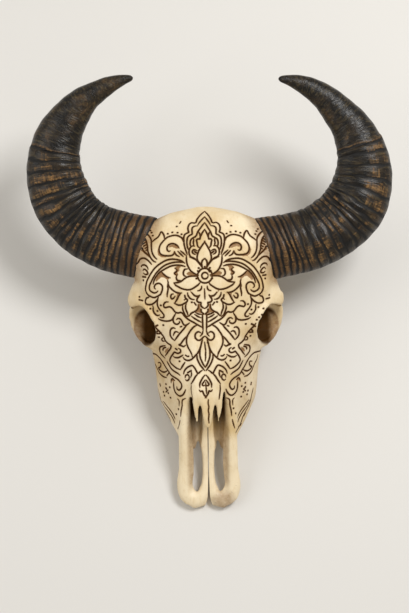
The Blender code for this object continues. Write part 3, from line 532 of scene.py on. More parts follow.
# Where a cut's wall starts and ends across its edge, in millimetres, the same for the ground between the
# strokes, and how deep that ground lies for the depth of a cut
CUT_WALL = (0.35, -0.9)
GROUND_WALL = (0.0, 1.2)
GROUND_SHARE = 0.8
# Ground cut away between the strokes
POOLS = (
    ((70.5, 422), (75, 417), (77, 412), (76, 405), (71, 401.5), (64, 400.8), (60, 402), (66, 403.8),
     (71, 405.5), (73.8, 409), (74, 413.5), (73, 418.5)),
    ((43, 417.5), (47, 420.5), (52, 421.5), (57, 420.5), (59.5, 417), (57.5, 416.3), (53, 417.5), (49, 416),
     (46, 414.5), (42.5, 414.8)),
    ((71.3, 378.5), (74.2, 375.6), (79.2, 370), (81.4, 363.5), (80, 361.4), (75.7, 365.7), (71.4, 369.2),
     (67.2, 368.5), (61.5, 364.2), (57.2, 367.8), (62.1, 371.4), (67.8, 374.9)),
    ((68.9, 380.5), (63.4, 384), (57, 387.2), (47.2, 388.3), (49, 386.3), (55.3, 385.4), (60.7, 383.2),
     (66.2, 380.5)),
    ((31, 375.6), (26, 378.5), (19.5, 374.2), (14.5, 371), (25, 370.7), (31, 372.5)),
    ((50, 384.5), (46.8, 386.9), (40, 387.4), (39.2, 385.4), (42.4, 382.7), (41.6, 379.1), (45.3, 376.9),
     (44, 373.3), (47.2, 372.4), (46.7, 368), (44.2, 365.7), (46, 364.8), (48.2, 367.1), (48.1, 371.5),
     (51.1, 376), (49.2, 378.7), (46.9, 381.4)),
    ((25.8, 349.2), (24.1, 345.6), (21.4, 342.5), (18.8, 340.7), (14.3, 340.2), (11.6, 341.1), (14.4, 338.6),
     (18.8, 338.9), (22.4, 340.7), (25, 343.4), (27.2, 346.5)),
    ((13.7, 326.8), (10.2, 325.9), (9.6, 319.7), (8.6, 314.3), (6, 310.7), (9.6, 309.8), (13.1, 311.6),
     (18.5, 312.5), (16.6, 315.2), (14.3, 318.8), (14.7, 323.2)),
    ((48.2, 344.3), (41.1, 344.3), (44.7, 340.7), (47.5, 334.9), (49.4, 332.2), (48.4, 336.7), (47, 341.1)),
    ((97.4, 382.3), (94.3, 380.5), (93.1, 377.8), (93.3, 375.1), (95.4, 375.6), (95.7, 378.2)),
    ((100, 416.2), (96.6, 412.7), (91.4, 407.3), (89.7, 403.3), (93.2, 405.5), (97.5, 410), (101.1, 410),
     (103.7, 412.7), (101.9, 415.3)),
    ((67.1, 253.9), (62.3, 256.7), (60.5, 256.7), (63.4, 251.1), (67.2, 247.3), (68.6, 249.2)),
    ((58.9, 206.8), (55.6, 207.3), (51.9, 204.9), (54.3, 201.6), (55.7, 198.4), (56.6, 202.6), (59, 201.2)),
)


def linear(code):
    """The linear red, green and blue of an sRGB colour written as hex."""
    made = []
    for i in (1, 3, 5):
        share = int(code[i : i + 2], 16) / 255
        made.append(share / 12.92 if share <= 0.04045 else ((share + 0.055) / 1.055) ** 2.4)
    return tuple(made)


def solid(colour):
    return (*colour, 1.0)


def tint(name, description, code):
    """A colour to set in the panel, written as hex."""
    return bpy.props.FloatVectorProperty(
        name=name, description=description, default=linear(code), subtype="COLOR"
    )


def measure(name, description, metres, digits=4, **limits):
    """A length to set in the panel, in metres."""
    return bpy.props.FloatProperty(
        name=name, description=description, default=metres, unit="LENGTH", precision=digits, **limits
    )


class BoneSettings(bpy.types.PropertyGroup):
    step: measure("Surface Step", "Size of the bone's mesh before the carving", 0.0017, min=0.001)
    rounding: bpy.props.IntProperty(
        name="Rounding", description="Passes that blend the joined forms", default=11, min=0
    )
    fullness: measure("Fullness", "What the surface gets back after rounding", 0.00045, digits=5, min=0.0)
    swell: measure("Swell", "Height of the slow waves that real bone has", 0.0010, min=0.0)
    gum: measure("Gum Level", "Height at which the cheek teeth leave the jaw", 0.021)
    light: tint("Bone", "Colour of clean bone", "#F0DFBD")
    shade: tint("Aged Bone", "Colour of yellowed bone", "#CDAE74")
    # Old stain by the horns shares this colour with the painted shade under the skull, on the cheeks and in
    # the sockets
    stain: tint("Stain", "Colour of old stain by the horns and on the cheeks", "#7D521F")
    # Painted shade deep in the sockets and the nose
    hollow: tint("Hollows", "Colour deep in the sockets and the nose", "#432A0C")


class CarvingSettings(bpy.types.PropertyGroup):
    depth: measure("Depth", "Depth of the cut lines", 0.0013, min=0.0)
    width: measure("Width", "Width of the cut lines", 0.0026, min=0.0005)
    line: tint("Line", "Colour in the cut lines", "#573615")
    core: tint("Core", "Colour at the bottom of the cut lines", "#27160A")
    ground: tint("Ground", "Colour of the ground cut away between the strokes", "#8E6637")


class ToothSettings(bpy.types.PropertyGroup):
    front: measure("Row Front", "Where the first cheek tooth starts, along the muzzle", -0.17846)
    gap: measure("Gap", "Space between two teeth", 0.0012, min=0.0)
    height: measure("Height", "Height of a tooth from its worn face into the jaw", 0.034)
    enamel: tint("Enamel", "Colour of the tooth", "#DCC9A2")
    tartar: tint("Tartar", "Colour of the deposit in the folds", "#4A3420")


class HornSettings(bpy.types.PropertyGroup):
    ridges: bpy.props.IntProperty(
        name="Ridges", description="Growth ridges on one horn", default=20, min=1
    )
    ridge_height: measure("Ridge Height", "Height of the tallest growth ridge", 0.0040, min=0.0)
    dark: tint("Horn", "Colour of clean horn", "#0D0B09")
    brown: tint("Brown Horn", "Colour of horn that light shines into", "#2F2519")
    olive: tint("Lamellae", "Colour of the thin layers that end in each groove", "#5E5136")
    worn: tint("Worn Horn", "Colour of split and weathered fibres", "#A67E4A")
    bound: tint("Bound Fibres", "Colour of fibres that have only begun to split", "#674826")
    dirt: tint("Groove Dirt", "Colour in the grooves between the ridges", "#0C0A09")


class StageSettings(bpy.types.PropertyGroup):
    floor: tint("Floor", "Colour of the floor", "#DCDAD6")
    key: bpy.props.FloatProperty(
        name="Key Light", description="Power of the large light, in watts", default=52.0, min=0.0
    )
    fill: bpy.props.FloatProperty(
        name="Fill", description="Strength of the light from all round", default=0.52, min=0.0
    )


def node(tree, kind, inputs=None, **settings):
    """Adds one node with its settings; an input is a value, or the output that it is linked to."""
    made = tree.nodes.new(kind)
    for name, value in settings.items():
        setattr(made, name, value)
    for socket, value in (inputs or {}).items():
        if isinstance(value, bpy.types.NodeSocket):
            tree.links.new(value, made.inputs[socket])
        else:
            made.inputs[socket].default_value = value
    return made


def blank_material(name):
    """A new material's node tree with nothing in it but its shader, and the shader."""
    made = bpy.data.materials.new(name)
    made.use_nodes = True
    return made, made.node_tree, made.node_tree.nodes["Principled BSDF"]


def only(*objects):
    """Makes these the selected objects, and the first of them active."""
    bpy.ops.object.select_all(action="DESELECT")
    for obj in objects:
        obj.select_set(True)
    bpy.context.view_layer.objects.active = objects[0]


def finish(obj, kind, **settings):
    """Adds a modifier with its settings and applies it."""
    modifier = obj.modifiers.new(kind.title(), kind)
    for name, value in settings.items():
        setattr(modifier, name, value)
    only(obj)
    bpy.ops.object.modifier_apply(modifier=modifier.name)


def copy_of(obj, name):
    made = bpy.data.objects.new(name, obj.data.copy())
    bpy.context.scene.collection.objects.link(made)
    return made


def added(name):
    """The object that the last primitive operator made, renamed."""
    made = bpy.context.object
    made.name = name
    made.data.name = name
    return made


def turn_faces_out():
    """Makes every face of the active object look outwards."""
    bpy.ops.object.mode_set(mode="EDIT")
    bpy.ops.mesh.select_all(action="SELECT")
    bpy.ops.mesh.normals_make_consistent(inside=False)
    bpy.ops.object.mode_set(mode="OBJECT")


def points_of(mesh):
    flat = np.empty(len(mesh.vertices) * 3)
    mesh.vertices.foreach_get("co", flat)
    return flat.reshape(-1, 3)


def set_points(mesh, points):
    mesh.vertices.foreach_set("co", np.ascontiguousarray(points, np.float32).ravel())
    mesh.update()


def store(mesh, name, values):
    """Keeps one number for each point, for the material to read."""
    layer = mesh.attributes.new(name, "FLOAT", "POINT")
    layer.data.foreach_set("value", np.ascontiguousarray(values, np.float32))


def numbers_of(mesh, name):
    found = np.empty(len(mesh.vertices), np.float32)
    mesh.attributes[name].data.foreach_get("value", found)
    return found


def face_frame(points):
    """Points in the world, in metres, as u, v and w in millimetres."""
    back = np.array(FACE_TO_WORLD.inverted())
    return points @ back[:3, :3].T + back[:3, 3]


def ease(low, high, values):
    """0 at low, 1 at high, and smooth between."""
    share = np.clip((values - low) / (high - low), 0, 1)
    return share * share * (3 - 2 * share)


def smooth_between(keys, t):
    """A row of numbers at t, on a Catmull-Rom curve through keys whose first number is the position."""
    last = len(keys) - 1
    i = 0
    while i < last - 1 and keys[i + 1][0] < t:
        i += 1
    a, b = keys[i], keys[i + 1]
    before = keys[max(i - 1, 0)]
    after = keys[min(i + 2, last)]
    span = b[0] - a[0]
    s = (t - a[0]) / span
    row = []
    for k in range(1, len(a)):
        rise_a = (b[k] - before[k]) / (b[0] - before[0]) * span
        rise_b = (after[k] - a[k]) / (after[0] - a[0]) * span
        row.append(
            a[k] * (2 * s**3 - 3 * s**2 + 1)
            + rise_a * (s**3 - 2 * s**2 + s)
            + b[k] * (3 * s**2 - 2 * s**3)
            + rise_b * (s**3 - s**2)
        )
    return row


def timed(points):
    """Points of a path, each with its distance along the path in front."""
    made = []
    length = 0.0
    for i, point in enumerate(points):
        if i:
            length += math.dist(points[i - 1][:2], point[:2])
        made.append((length, *point))
    return made


# Carving


def on_side(hand, points):
    """A stroke or an outline as it lies on one side of the face."""
    made = []
    for out, v in points:
        away, middle, towards = (np.interp(v, *shift) for shift in SHIFT_CURVES)
        reach = min(abs(out) / MIDDLE_REACH, 1.0)
        shift = middle + (towards - middle) * reach if hand > 0 else away * reach
        made.append((hand * out + shift, v + SETTLE * reach))
    return made


def circle(middle, radius, count=28):
    turns = [math.tau * i / count for i in range(count + 1)]
    return [(middle[0] + radius * math.cos(t), middle[1] + radius * math.sin(t)) for t in turns]


def all_strokes():
    """Every stroke in the face frame, with its width as a share of the usual one."""
    strokes = []
    for group in (
        CROWN_PALMETTE, FLOWER, VOLUTES, TEMPLES, SWEEPING_ARCS, LEAVES, STEM, CHEEK_SCROLLS, TEARDROP,
        NASAL_SCROLLS, MUZZLE_LINES, LENS, HATCHES,
    ):
        share = FINE if group in (HATCHES, MUZZLE_LINES) else 1.0
        for points in group:
            strokes.extend((share, on_side(hand, points)) for hand, _ in SIDES)
    for points in CENTRE_LINES:
        strokes.append((CENTRE, list(points)))
    for radius in BOSS_RINGS:
        strokes.append((1.0, circle(BOSS, radius)))
    dots = [(1.0, BOSS[0], BEAD_HEIGHT)]
    dots += [(DOT, *on_side(hand, [dot])[0]) for dot in DOTS for hand, _ in SIDES]
    for share, middle, height in dots:
        strokes.append((share, [(middle - DOT_HALF, height), (middle + DOT_HALF, height)]))
    return strokes


def all_pools():
    return [on_side(hand, pool) for pool in POOLS for hand, _ in SIDES]


class Carving:
    """The strokes laid on the bone: where their middle lines run, and how far a point is from their edges."""

    # Millimetres between samples, over which an end tapers, and beyond which a distance isn't measured
    STEP = 0.5
    TAPER = 5.0
    FAR = 9.0
    # The width of an end, as a share
    END = 0.55
    # Metres between two samples at which a stroke is broken off, and the square under which they are one
    JUMP = 0.006
    SAME = 1e-16

    def __init__(self, surface, width):
        self.places = []
        self.halves = []
        self.starts = []
        for share, points in all_strokes():
            self.lay(surface, timed(points), width / MM / 2 * share)
        self.places = np.array(self.places)
        # No stroke runs on over the walls of a socket
        outside = hollow_shade_of(self.places) < WALLED
        self.halves = np.array(self.halves)[outside]
        self.starts = (np.array(self.starts) | np.roll(~outside, 1))[outside]
        self.places = self.places[outside]
        self.tree = KDTree(len(self.places))
        for i, place in enumerate(self.places):
            self.tree.insert(place, i)
        self.tree.balance()

    def lay(self, surface, keys, half):
        """Samples one stroke, and drops each sample along the line of sight onto the bone."""
        length = keys[-1][0]
        count = max(round(length / self.STEP), 1)
        last = None
        for i in range(count + 1):
            along = length * i / count
            u, v = smooth_between(keys, along)
            aim = FACE_TO_WORLD @ Vector((u, v, 0))
            hit = surface.ray_cast(EYE, (aim - EYE).normalized())[0]
            if hit is None:
                last = None
                continue
            start = last is None or (hit - last).length > self.JUMP
            end = min(along, length - along)
            full = 1.0 if length < 2 * self.TAPER else min(end / self.TAPER, 1.0)
            self.places.append(hit[:])
            self.halves.append(half * (self.END + (1 - self.END) * full))
            self.starts.append(start)
            last = hit

    def edge_distance(self, points):
        """How far each point is outside the nearest stroke's edge, in millimetres; below 0 is in the cut."""
        found = np.full(len(points), self.FAR)
        low = self.places.min(axis=0) - self.FAR * MM
        high = self.places.max(axis=0) + self.FAR * MM
        near = np.flatnonzero(((points > low) & (points < high)).all(axis=1))
        index = np.array([self.tree.find(point)[1] for point in points[near]])
        spot = points[near]
        best = np.linalg.norm(spot - self.places[index], axis=1)
        last = len(self.places) - 1
        for first, second in ((index - 1, index), (index, index + 1)):
            first = np.clip(first, 0, last)
            second = np.clip(second, 0, last)
            joined = ~self.starts[second] & (first != second)
            a = self.places[first]
            along = self.places[second] - a
            square = np.maximum((along**2).sum(axis=1), self.SAME)
            share = np.clip(((spot - a) * along).sum(axis=1) / square, 0, 1)
            gap = np.linalg.norm(spot - a - along * share[:, None], axis=1)
            best = np.where(joined, np.minimum(best, gap), best)
        found[near] = np.minimum(best / MM - self.halves[index], self.FAR)
        return found

    def pool_depth(self, points, distances):
        """How far each point is inside the ground that is cut away, in millimetres, or 0."""
        place = face_frame(points)
        spread = VIEW_DISTANCE / (VIEW_DISTANCE - place[:, 2])
        u = VIEW_U + (place[:, 0] - VIEW_U) * spread
        v = VIEW_V + (place[:, 1] - VIEW_V) * spread
        depth = np.zeros(len(points))
        for pool in all_pools():
            outline = np.array(pool)
            low, high = outline.min(axis=0), outline.max(axis=0)
            near = np.flatnonzero(
                (u > low[0]) & (u < high[0]) & (v > low[1]) & (v < high[1]) & (distances < self.FAR - 1)
            )
            inside = np.zeros(len(near), bool)
            gap = np.full(len(near), np.inf)
            for a, b in zip(outline, np.roll(outline, -1, axis=0)):
                x, y = u[near] - a[0], v[near] - a[1]
                along = b - a
                share = np.clip((x * along[0] + y * along[1]) / (along @ along), 0, 1)
                gap = np.minimum(gap, np.hypot(x - along[0] * share, y - along[1] * share))
                if along[1]:
                    crossed = (y > 0) != (v[near] > b[1])
                    inside ^= crossed & (x < along[0] * y / along[1])
            depth[near] = np.maximum(depth[near], np.where(inside, gap, 0))
        return depth


def within(spans, u, v, w):
    """How far inside a place each point is, from 0 to 1: the product of the place's spans."""
    axes = {"u": np.abs(u), "v": v, "w": w}
    share = 1.0
    for axis, start, full in spans:
        share = share * ease(start, full, axes[axis])
    return share


def soften(skull, passes):
    """Blends the joined forms, less round the sockets and at the tips of the nose, which stay crisp."""
    u, v, w = face_frame(points_of(skull.data)).T
    crisp = (np.abs(socket_place(u, v) - 1) < RIM_SHARE) & (w > RIM_FLOOR)
    low, high = NOSE_TIPS
    crisp |= (np.abs(u) < NOSE_TIP_HALF) & (v > low) & (v < high) & (w > NOSE_TIP_FLOOR)
    soft = skull.vertex_groups.new(name="soft")
    soft.add(np.flatnonzero(~crisp).tolist(), 1.0, "REPLACE")
    soft.add(np.flatnonzero(crisp).tolist(), SPARED, "REPLACE")
    finish(skull, "SMOOTH", factor=0.5, iterations=passes, vertex_group=soft.name)
    skull.vertex_groups.clear()


def cut_away(body, cutter):
    """Takes a cutting block out of a body, and removes the block."""
    finish(body, "BOOLEAN", operation="DIFFERENCE", object=cutter, solver="MANIFOLD")
    bpy.data.objects.remove(cutter)


def whole_skull(settings):
    """The bones as one rounded body: their solids joined, blended and given the slow waves of real bone."""
    copies = []
    for name in BONES:
        bone = copy_of(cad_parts[name], name + "_form")
        only(bone)
        bpy.ops.object.mode_set(mode="EDIT")
        bpy.ops.mesh.select_all(action="SELECT")
        bpy.ops.mesh.remove_doubles(threshold=WELDED)
        if name.startswith("maxilla"):
            bpy.ops.mesh.bisect(
                plane_co=(0, 0, settings.gum), plane_no=(0, 0, 1), use_fill=True, clear_inner=True
            )
        bpy.ops.object.mode_set(mode="OBJECT")
        copies.append(bone)
    for hand, word in SIDES:
        outline = [(hand * u, v) for u, v in INNER_BRANCH]
        copies.append(block("inner_branch_" + word, outline, 2, *INNER_BRANCH_DEPTHS))
    only(*copies)
    bpy.ops.object.join()
    skull = added("skull")
    finish(skull, "REMESH", mode="VOXEL", voxel_size=settings.step)
    for hand, _ in SIDES:
        for name, half, depths in (
            ("palate_notch", PALATE_ARCH, PALATE_ARCH_DEPTHS),
            ("bulb_corner", BULB_CORNER, BULB_CORNER_DEPTHS),
            ("socket_opening", SOCKET_OUTLINE, SOCKET_DEPTHS),
        ):
            cut_away(skull, block(name, [(hand * u, v) for u, v in half], 2, *depths))
    finish(skull, "REMESH", mode="VOXEL", voxel_size=settings.step)
    soften(skull, settings.rounding)
    finish(skull, "DISPLACE", strength=settings.fullness, mid_level=0.0)
    waves = bpy.data.textures.new("bone_waves", "CLOUDS")
    waves.noise_scale = WAVE_LENGTH
    finish(skull, "DISPLACE", strength=settings.swell, mid_level=0.5, texture=waves)
    points = points_of(skull.data)
    u, v, w = face_frame(points).T
    flank = within(FLANK, u, v, w)
    sunk = np.clip(w - FLANK_FLOOR, 0, None) * FLANK_FALL * flank * (w < FLANK_TOP)
    brow = within(BROW, u, v, w) * (w > BROW_FLOOR)
    slope, swelling = (within(spans, u, v, w) for spans in (BROW_SLOPE, BROW_SWELLING))
    sunk += brow * (BROW_FALL * slope - BROW_RISE * swelling)
    points -= np.outer(sunk * MM, np.array(FACE_OUT))
    points[:, 2] = np.maximum(points[:, 2], 0.0)
    set_points(skull.data, points)
    outline = list(CLEFT) + [(-u, v) for u, v in reversed(CLEFT)]
    cut_away(skull, block("cleft", outline, 2, *CLEFT_DEPTHS))
    return skull


def refine(skull, carving, reach):
    """Halves the mesh where strokes run, so that their edges stay crisp."""
    mesh = skull.data
    near = carving.edge_distance(points_of(mesh)) < reach
    ends = np.empty(len(mesh.edges) * 2, np.int32)
    mesh.edges.foreach_get("vertices", ends)
    chosen = near[ends.reshape(-1, 2)].all(axis=1)
    only(skull)
    bpy.context.tool_settings.mesh_select_mode = (False, True, False)
    bpy.ops.object.mode_set(mode="EDIT")
    bpy.ops.mesh.select_all(action="DESELECT")
    bpy.ops.object.mode_set(mode="OBJECT")
    mesh.edges.foreach_set("select", chosen)
    bpy.ops.object.mode_set(mode="EDIT")
    bpy.ops.mesh.subdivide(number_cuts=1)
    bpy.ops.object.mode_set(mode="OBJECT")


def carve(skull, carving, depth):
    """Sinks the strokes and the ground between them straight in, and notes where each point lies."""
    points = points_of(skull.data)
    distance = carving.edge_distance(points)
    pool = carving.pool_depth(points, distance)
    store(skull.data, "cut_mm", distance)
    store(skull.data, "pool_mm", pool)
    store(skull.data, "known", np.ones(len(points)))
    sunk = depth * ease(*CUT_WALL, distance)
    sunk = np.maximum(sunk, GROUND_SHARE * depth * ease(*GROUND_WALL, pool))
    set_points(skull.data, points - np.outer(sunk, np.array(FACE_OUT)))


def note_new_points(mesh):
    """Gives the points that a cut made the numbers of the nearest point that was there before it."""
    numbers = {name: numbers_of(mesh, name) for name in ("known", "cut_mm", "pool_mm")}
    points = points_of(mesh)
    old = np.flatnonzero(numbers["known"] > 0.5)
    new = np.flatnonzero(numbers["known"] <= 0.5)
    tree = KDTree(len(old))
    for i in old:
        tree.insert(points[i], i)
    tree.balance()
    nearest = np.array([tree.find(points[i])[1] for i in new], int)
    for name in ("cut_mm", "pool_mm"):
        numbers[name][new] = numbers[name][nearest]
        mesh.attributes[name].data.foreach_set("value", numbers[name])
    mesh.attributes.remove(mesh.attributes["known"])


def block(name, outline, axis, near, far, top=None):
    """A closed cutting block: an outline in the face frame, drawn out along an axis from near to far; top is
    the outline at its far end, where that is another."""
    bpy.ops.object.select_all(action="DESELECT")
    bpy.ops.mesh.primitive_circle_add(vertices=len(outline), radius=1, fill_type="NGON")
    made = added(name)
    bpy.ops.object.mode_set(mode="EDIT")
    bpy.ops.mesh.select_all(action="SELECT")
    bpy.ops.mesh.extrude_region_move(TRANSFORM_OT_translate={"value": (0, 0, 1)})
    bpy.ops.object.mode_set(mode="OBJECT")
    for vert in made.data.vertices:
        x, y, z = vert.co
        turn = math.atan2(x, y)
        i = round(turn / math.tau * len(outline)) % len(outline)
        a, b = (top or outline)[i] if z > 0.5 else outline[i]
        place = [a, b]
        place.insert(axis, far if z > 0.5 else near)
        vert.co = FACE_TO_WORLD @ Vector(place)
    turn_faces_out()
    return made


def square(low, high):
    return ((low[0], low[1]), (high[0], low[1]), (high[0], high[1]), (low[0], high[1]))


def part(body, cutter, name):
    """Parts body along a block's walls: what lies in the block gets that name, and body keeps the rest."""
    inner = copy_of(body, CARVED + name)
    finish(inner, "BOOLEAN", operation="INTERSECT", object=cutter, solver="MANIFOLD")
    cut_away(body, cutter)
    if len(inner.data.vertices) == len(body.data.vertices):
        raise RuntimeError(name + " could not be parted from the skull")
    return inner


def halved(body, name):
    left = part(body, block("half", square(*LEFT_HALF), 2, *LEFT_HALF_DEPTHS), name + "_left")
    body.name = CARVED + name + "_right"
    return [left, body]


def part_bones(skull):
    """The ten bones, each named as the node that it stands for. Left is the animal's left, at +X."""
    half = list(NASOFRONTAL)
    outline = [(-u, v) for u, v in half[:0:-1]] + half + list(FACE_END)
    back, down = NASOFRONTAL_LEAN
    low = [(u, v + back) for u, v in outline]
    transverse = block("transverse", low, 2, NASOFRONTAL_TOP + down, NASOFRONTAL_TOP, top=outline)
    face = part(skull, transverse, "maxilla")
    nasals = part(face, block("nasal", square(*NASAL_SUTURE), 2, *NASAL_DEPTHS), "nasal")
    muzzle = part(face, block("front", PREMAXILLA_SUTURE, 0, *PREMAXILLA_SIDES), "premaxilla")
    bones = halved(nasals, "nasal_bone") + halved(muzzle, "premaxilla") + halved(face, "maxilla")
    for hand, word in SIDES:
        near, far = sorted(hand * side for side in CHEEK_SIDES)
        bones.append(part(skull, block("cheek", CHEEK_SUTURE, 0, near, far), "cheekbone_" + word))
    forehead = block("forehead", square(*FOREHEAD), 2, *FOREHEAD_DEPTHS)
    bones.append(part(skull, forehead, "frontal_bone"))
    skull.name = CARVED + "braincase"
    bones.append(skull)
    return bones


def socket_place(u, v):
    """How far points are from the middle of a socket, 1 at the edge of its opening as seen from the front."""
    out = (np.abs(u) - SOCKET_MIDDLE[0]) / SOCKET_HALVES[0]
    return np.hypot(out, (v - SOCKET_MIDDLE[1]) / SOCKET_HALVES[1])


def stain_and_shade_of(points):
    """How much stain and painted shade each point holds: painted shade below, stain and painted shade down
    the cheeks, stain by the horns, and stain with painted shade on the sockets' rims.
    """
    u, v, w = face_frame(points).T
    # Painted shade underneath and under the muzzle, stain and painted shade down the cheeks, and stain inside
    # the muzzle's branches
    stain = sum(strength * within(spans, u, v, w) for strength, spans in STAIN_AND_SHADE_PLACES)
    bulb = ease(*BROWN_BULB_SPAN, np.hypot(u - BROWN_BULB[0], v - BROWN_BULB[1]))
    stain = np.maximum(stain, BROWN_BULB_STRENGTH * bulb)
    for hand, _, keys, _ in HORNS:
        (u0, v0, _), (u1, v1, _) = keys[:2]
        along = Vector((u1 - u0, v1 - v0)).normalized()
        outward = (u - u0) * along.x + (v - v0) * along.y + math.tan(SEAT_TURN) * (v - v0)
        near = ease(*SEAT_STAIN_REACH, np.abs(v - v0)) * (np.sign(u) == hand)
        stain = np.maximum(stain, SEAT_STAIN_STRENGTH * ease(*SEAT_STAIN, outward) * near)
    # Brown stain with painted shade on the walls inside the sockets
    rim = ease(*SOCKET_WALL_STAIN_AND_SHADE, socket_place(u, v)) * ease(*SOCKET_WALL_STAIN_AND_SHADE_DEPTHS, w)
    return np.clip(np.maximum(stain, SOCKET_WALL_STAIN_AND_SHADE_STRENGTH * rim), 0, 1)


def hollow_shade_of(points):
    """How deep in a socket or in the nose each point lies, from 0 to 1: these hollows are given painted
    shade.
    """
    u, v, w = face_frame(points).T
    across = np.abs(u)
    nose = within(NOSE_HOLLOW, u, v, w) * np.maximum(ease(*NOSE_SIDES, across), ease(*NOSE_ROOF, v))
    deep = ease(*SOCKET_DEEP, w) * ease(*SOCKET_MOUTH, socket_place(u, v))
    deep *= np.maximum(ease(*SOCKET_INNER, across - SOCKET_MIDDLE[0]), ease(*SOCKET_UPPER, v))
    return np.clip(np.maximum(nose, deep), 0, 1)


def carved_bone(bone, carving):
    """Dry skull bone, bleached, carved by hand and rubbed with brown stain, then buffed."""
    # Matt, warm and a little uneven: yellow where grease stayed, with open pores, hairline cracks along the
    # length, and stain that fills the cuts and thins out beside them. Painted shade darkens the underside,
    # the cheeks, the walls of the sockets and deep in the sockets and the nose
    made, tree, shader = blank_material("bleached_carved_bone")
    place = node(tree, "ShaderNodeTexCoord").outputs["Object"]
    cut, pool, stain, hollow, fresh = (
        node(tree, "ShaderNodeAttribute", attribute_name=name).outputs["Fac"]
        for name in ("cut_mm", "pool_mm", "stain", "hollow", "fresh")
    )
    clouds = node(
        tree, "ShaderNodeTexNoise", {"Vector": place, "Scale": 1 / (60 * MM), "Detail": 5.0}
    ).outputs[0]
    mottle = node(
        tree, "ShaderNodeTexNoise", {"Vector": place, "Scale": 1 / (9 * MM), "Detail": 6.0, "Roughness": 0.7}
    ).outputs[0]
    # Pores are about 0.3 mm across, drawn at 1.4 mm so that they show
    pores = node(
        tree, "ShaderNodeTexNoise",
        {"Vector": place, "Scale": 1 / (1.4 * MM), "Detail": 3.0, "Roughness": 0.6},
    ).outputs[0]
    lengthwise = node(tree, "ShaderNodeMapping", {"Vector": place, "Scale": (1.0, 0.16, 0.5)}).outputs[0]
    grain = node(
        tree, "ShaderNodeTexNoise", {"Vector": lengthwise, "Scale": 1 / (3 * MM), "Detail": 4.0}
    ).outputs[0]
    cells = node(
        tree, "ShaderNodeTexVoronoi", {"Vector": lengthwise, "Scale": 1 / (24 * MM)},
        feature="DISTANCE_TO_EDGE",
    ).outputs[0]
    crack = node(
        tree, "ShaderNodeMapRange", {"Value": cells, "From Min": 0.014, "From Max": 0.0},
        interpolation_type="SMOOTHSTEP",
    ).outputs[0]
    cracked = node(
        tree, "ShaderNodeMapRange", {"Value": clouds, "From Min": 0.55, "From Max": 0.66, "To Max": 0.5}
    ).outputs[0]
    # The muzzle tip is the cleanest and soundest bone
    dingy = node(tree, "ShaderNodeMath", {0: fresh, 1: -0.75, 2: 1.0}, operation="MULTIPLY_ADD").outputs[0]
    aged = node(
        tree, "ShaderNodeMapRange", {"Value": clouds, "From Min": 0.38, "From Max": 0.72}
    ).outputs[0]
    aged = node(tree, "ShaderNodeMath", {0: aged, 1: dingy}, operation="MULTIPLY").outputs[0]
    for share in (cracked, dingy):
        crack = node(tree, "ShaderNodeMath", {0: crack, 1: share}, operation="MULTIPLY").outputs[0]
    speck = node(
        tree, "ShaderNodeMapRange", {"Value": mottle, "From Min": 0.55, "From Max": 0.8, "To Max": 0.45}
    ).outputs[0]
    fibre = node(
        tree, "ShaderNodeMapRange", {"Value": grain, "From Min": 0.52, "From Max": 0.75, "To Max": 0.3}
    ).outputs[0]
    patchy = node(
        tree, "ShaderNodeMapRange", {"Value": mottle, "From Min": 0.3, "From Max": 0.7, "To Min": 0.55}
    ).outputs[0]
    stained_and_shaded = node(tree, "ShaderNodeMath", {0: stain, 1: patchy}, operation="MULTIPLY").outputs[0]
    # Pits about 1 mm across: a few everywhere, and many where the stain and painted shade are strong
    flecks = node(
        tree, "ShaderNodeTexNoise",
        {"Vector": place, "Scale": 1 / (3.4 * MM), "Detail": 4.0, "Roughness": 0.75},
    ).outputs[0]
    pitted = node(
        tree, "ShaderNodeMapRange", {"Value": stain, "From Max": 0.5, "To Min": -0.05, "To Max": -0.02}
    ).outputs[0]
    pit = node(tree, "ShaderNodeMath", {0: flecks, 1: pitted}, operation="ADD").outputs[0]
    pit = node(
        tree, "ShaderNodeMapRange", {"Value": pit, "From Min": 0.62, "From Max": 0.68, "To Max": 0.8}
    ).outputs[0]

    halo = node(
        tree, "ShaderNodeMapRange", {"Value": cut, "From Min": 1.6, "From Max": 0.0, "To Max": 0.5},
        interpolation_type="SMOOTHSTEP",
    ).outputs[0]
    halo = node(tree, "ShaderNodeMath", {0: halo, 1: patchy}, operation="MULTIPLY").outputs[0]
    ground = node(
        tree, "ShaderNodeMapRange", {"Value": pool, "From Min": 0.0, "From Max": 0.8},
        interpolation_type="SMOOTHSTEP",
    ).outputs[0]
    # A hand-held tool: the edge of a cut wanders by about 0.3 mm
    ragged = node(
        tree, "ShaderNodeMapRange",
        {"Value": pores, "From Min": 0.3, "From Max": 0.7, "To Min": -0.3, "To Max": 0.3},
    ).outputs[0]
    edge = node(tree, "ShaderNodeMath", {0: cut, 1: ragged}, operation="ADD").outputs[0]
    line = node(
        tree, "ShaderNodeMapRange", {"Value": edge, "From Min": 0.5, "From Max": -0.2},
        interpolation_type="SMOOTHSTEP",
    ).outputs[0]
    core = node(
        tree, "ShaderNodeMapRange", {"Value": edge, "From Min": -0.35, "From Max": -1.1, "To Max": 0.85},
        interpolation_type="SMOOTHSTEP",
    ).outputs[0]

    # Coats of colour, from the clean bone up to the bottom of the cuts; the stain coat also carries painted
    # shade, and the hollows coat is painted shade
    colour = solid(bone.light)
    for share, over in (
        (aged, bone.shade), (speck, bone.shade), (fibre, bone.shade), (stained_and_shaded, bone.stain),
        (crack, bone.stain), (pit, carving.line), (hollow, bone.hollow), (halo, carving.ground),
        (ground, carving.ground), (line, carving.line), (core, carving.core),
    ):
        colour = node(
            tree, "ShaderNodeMix", {0: share, 6: colour, 7: solid(over)}, data_type="RGBA"
        ).outputs[2]
    tree.links.new(colour, shader.inputs["Base Color"])

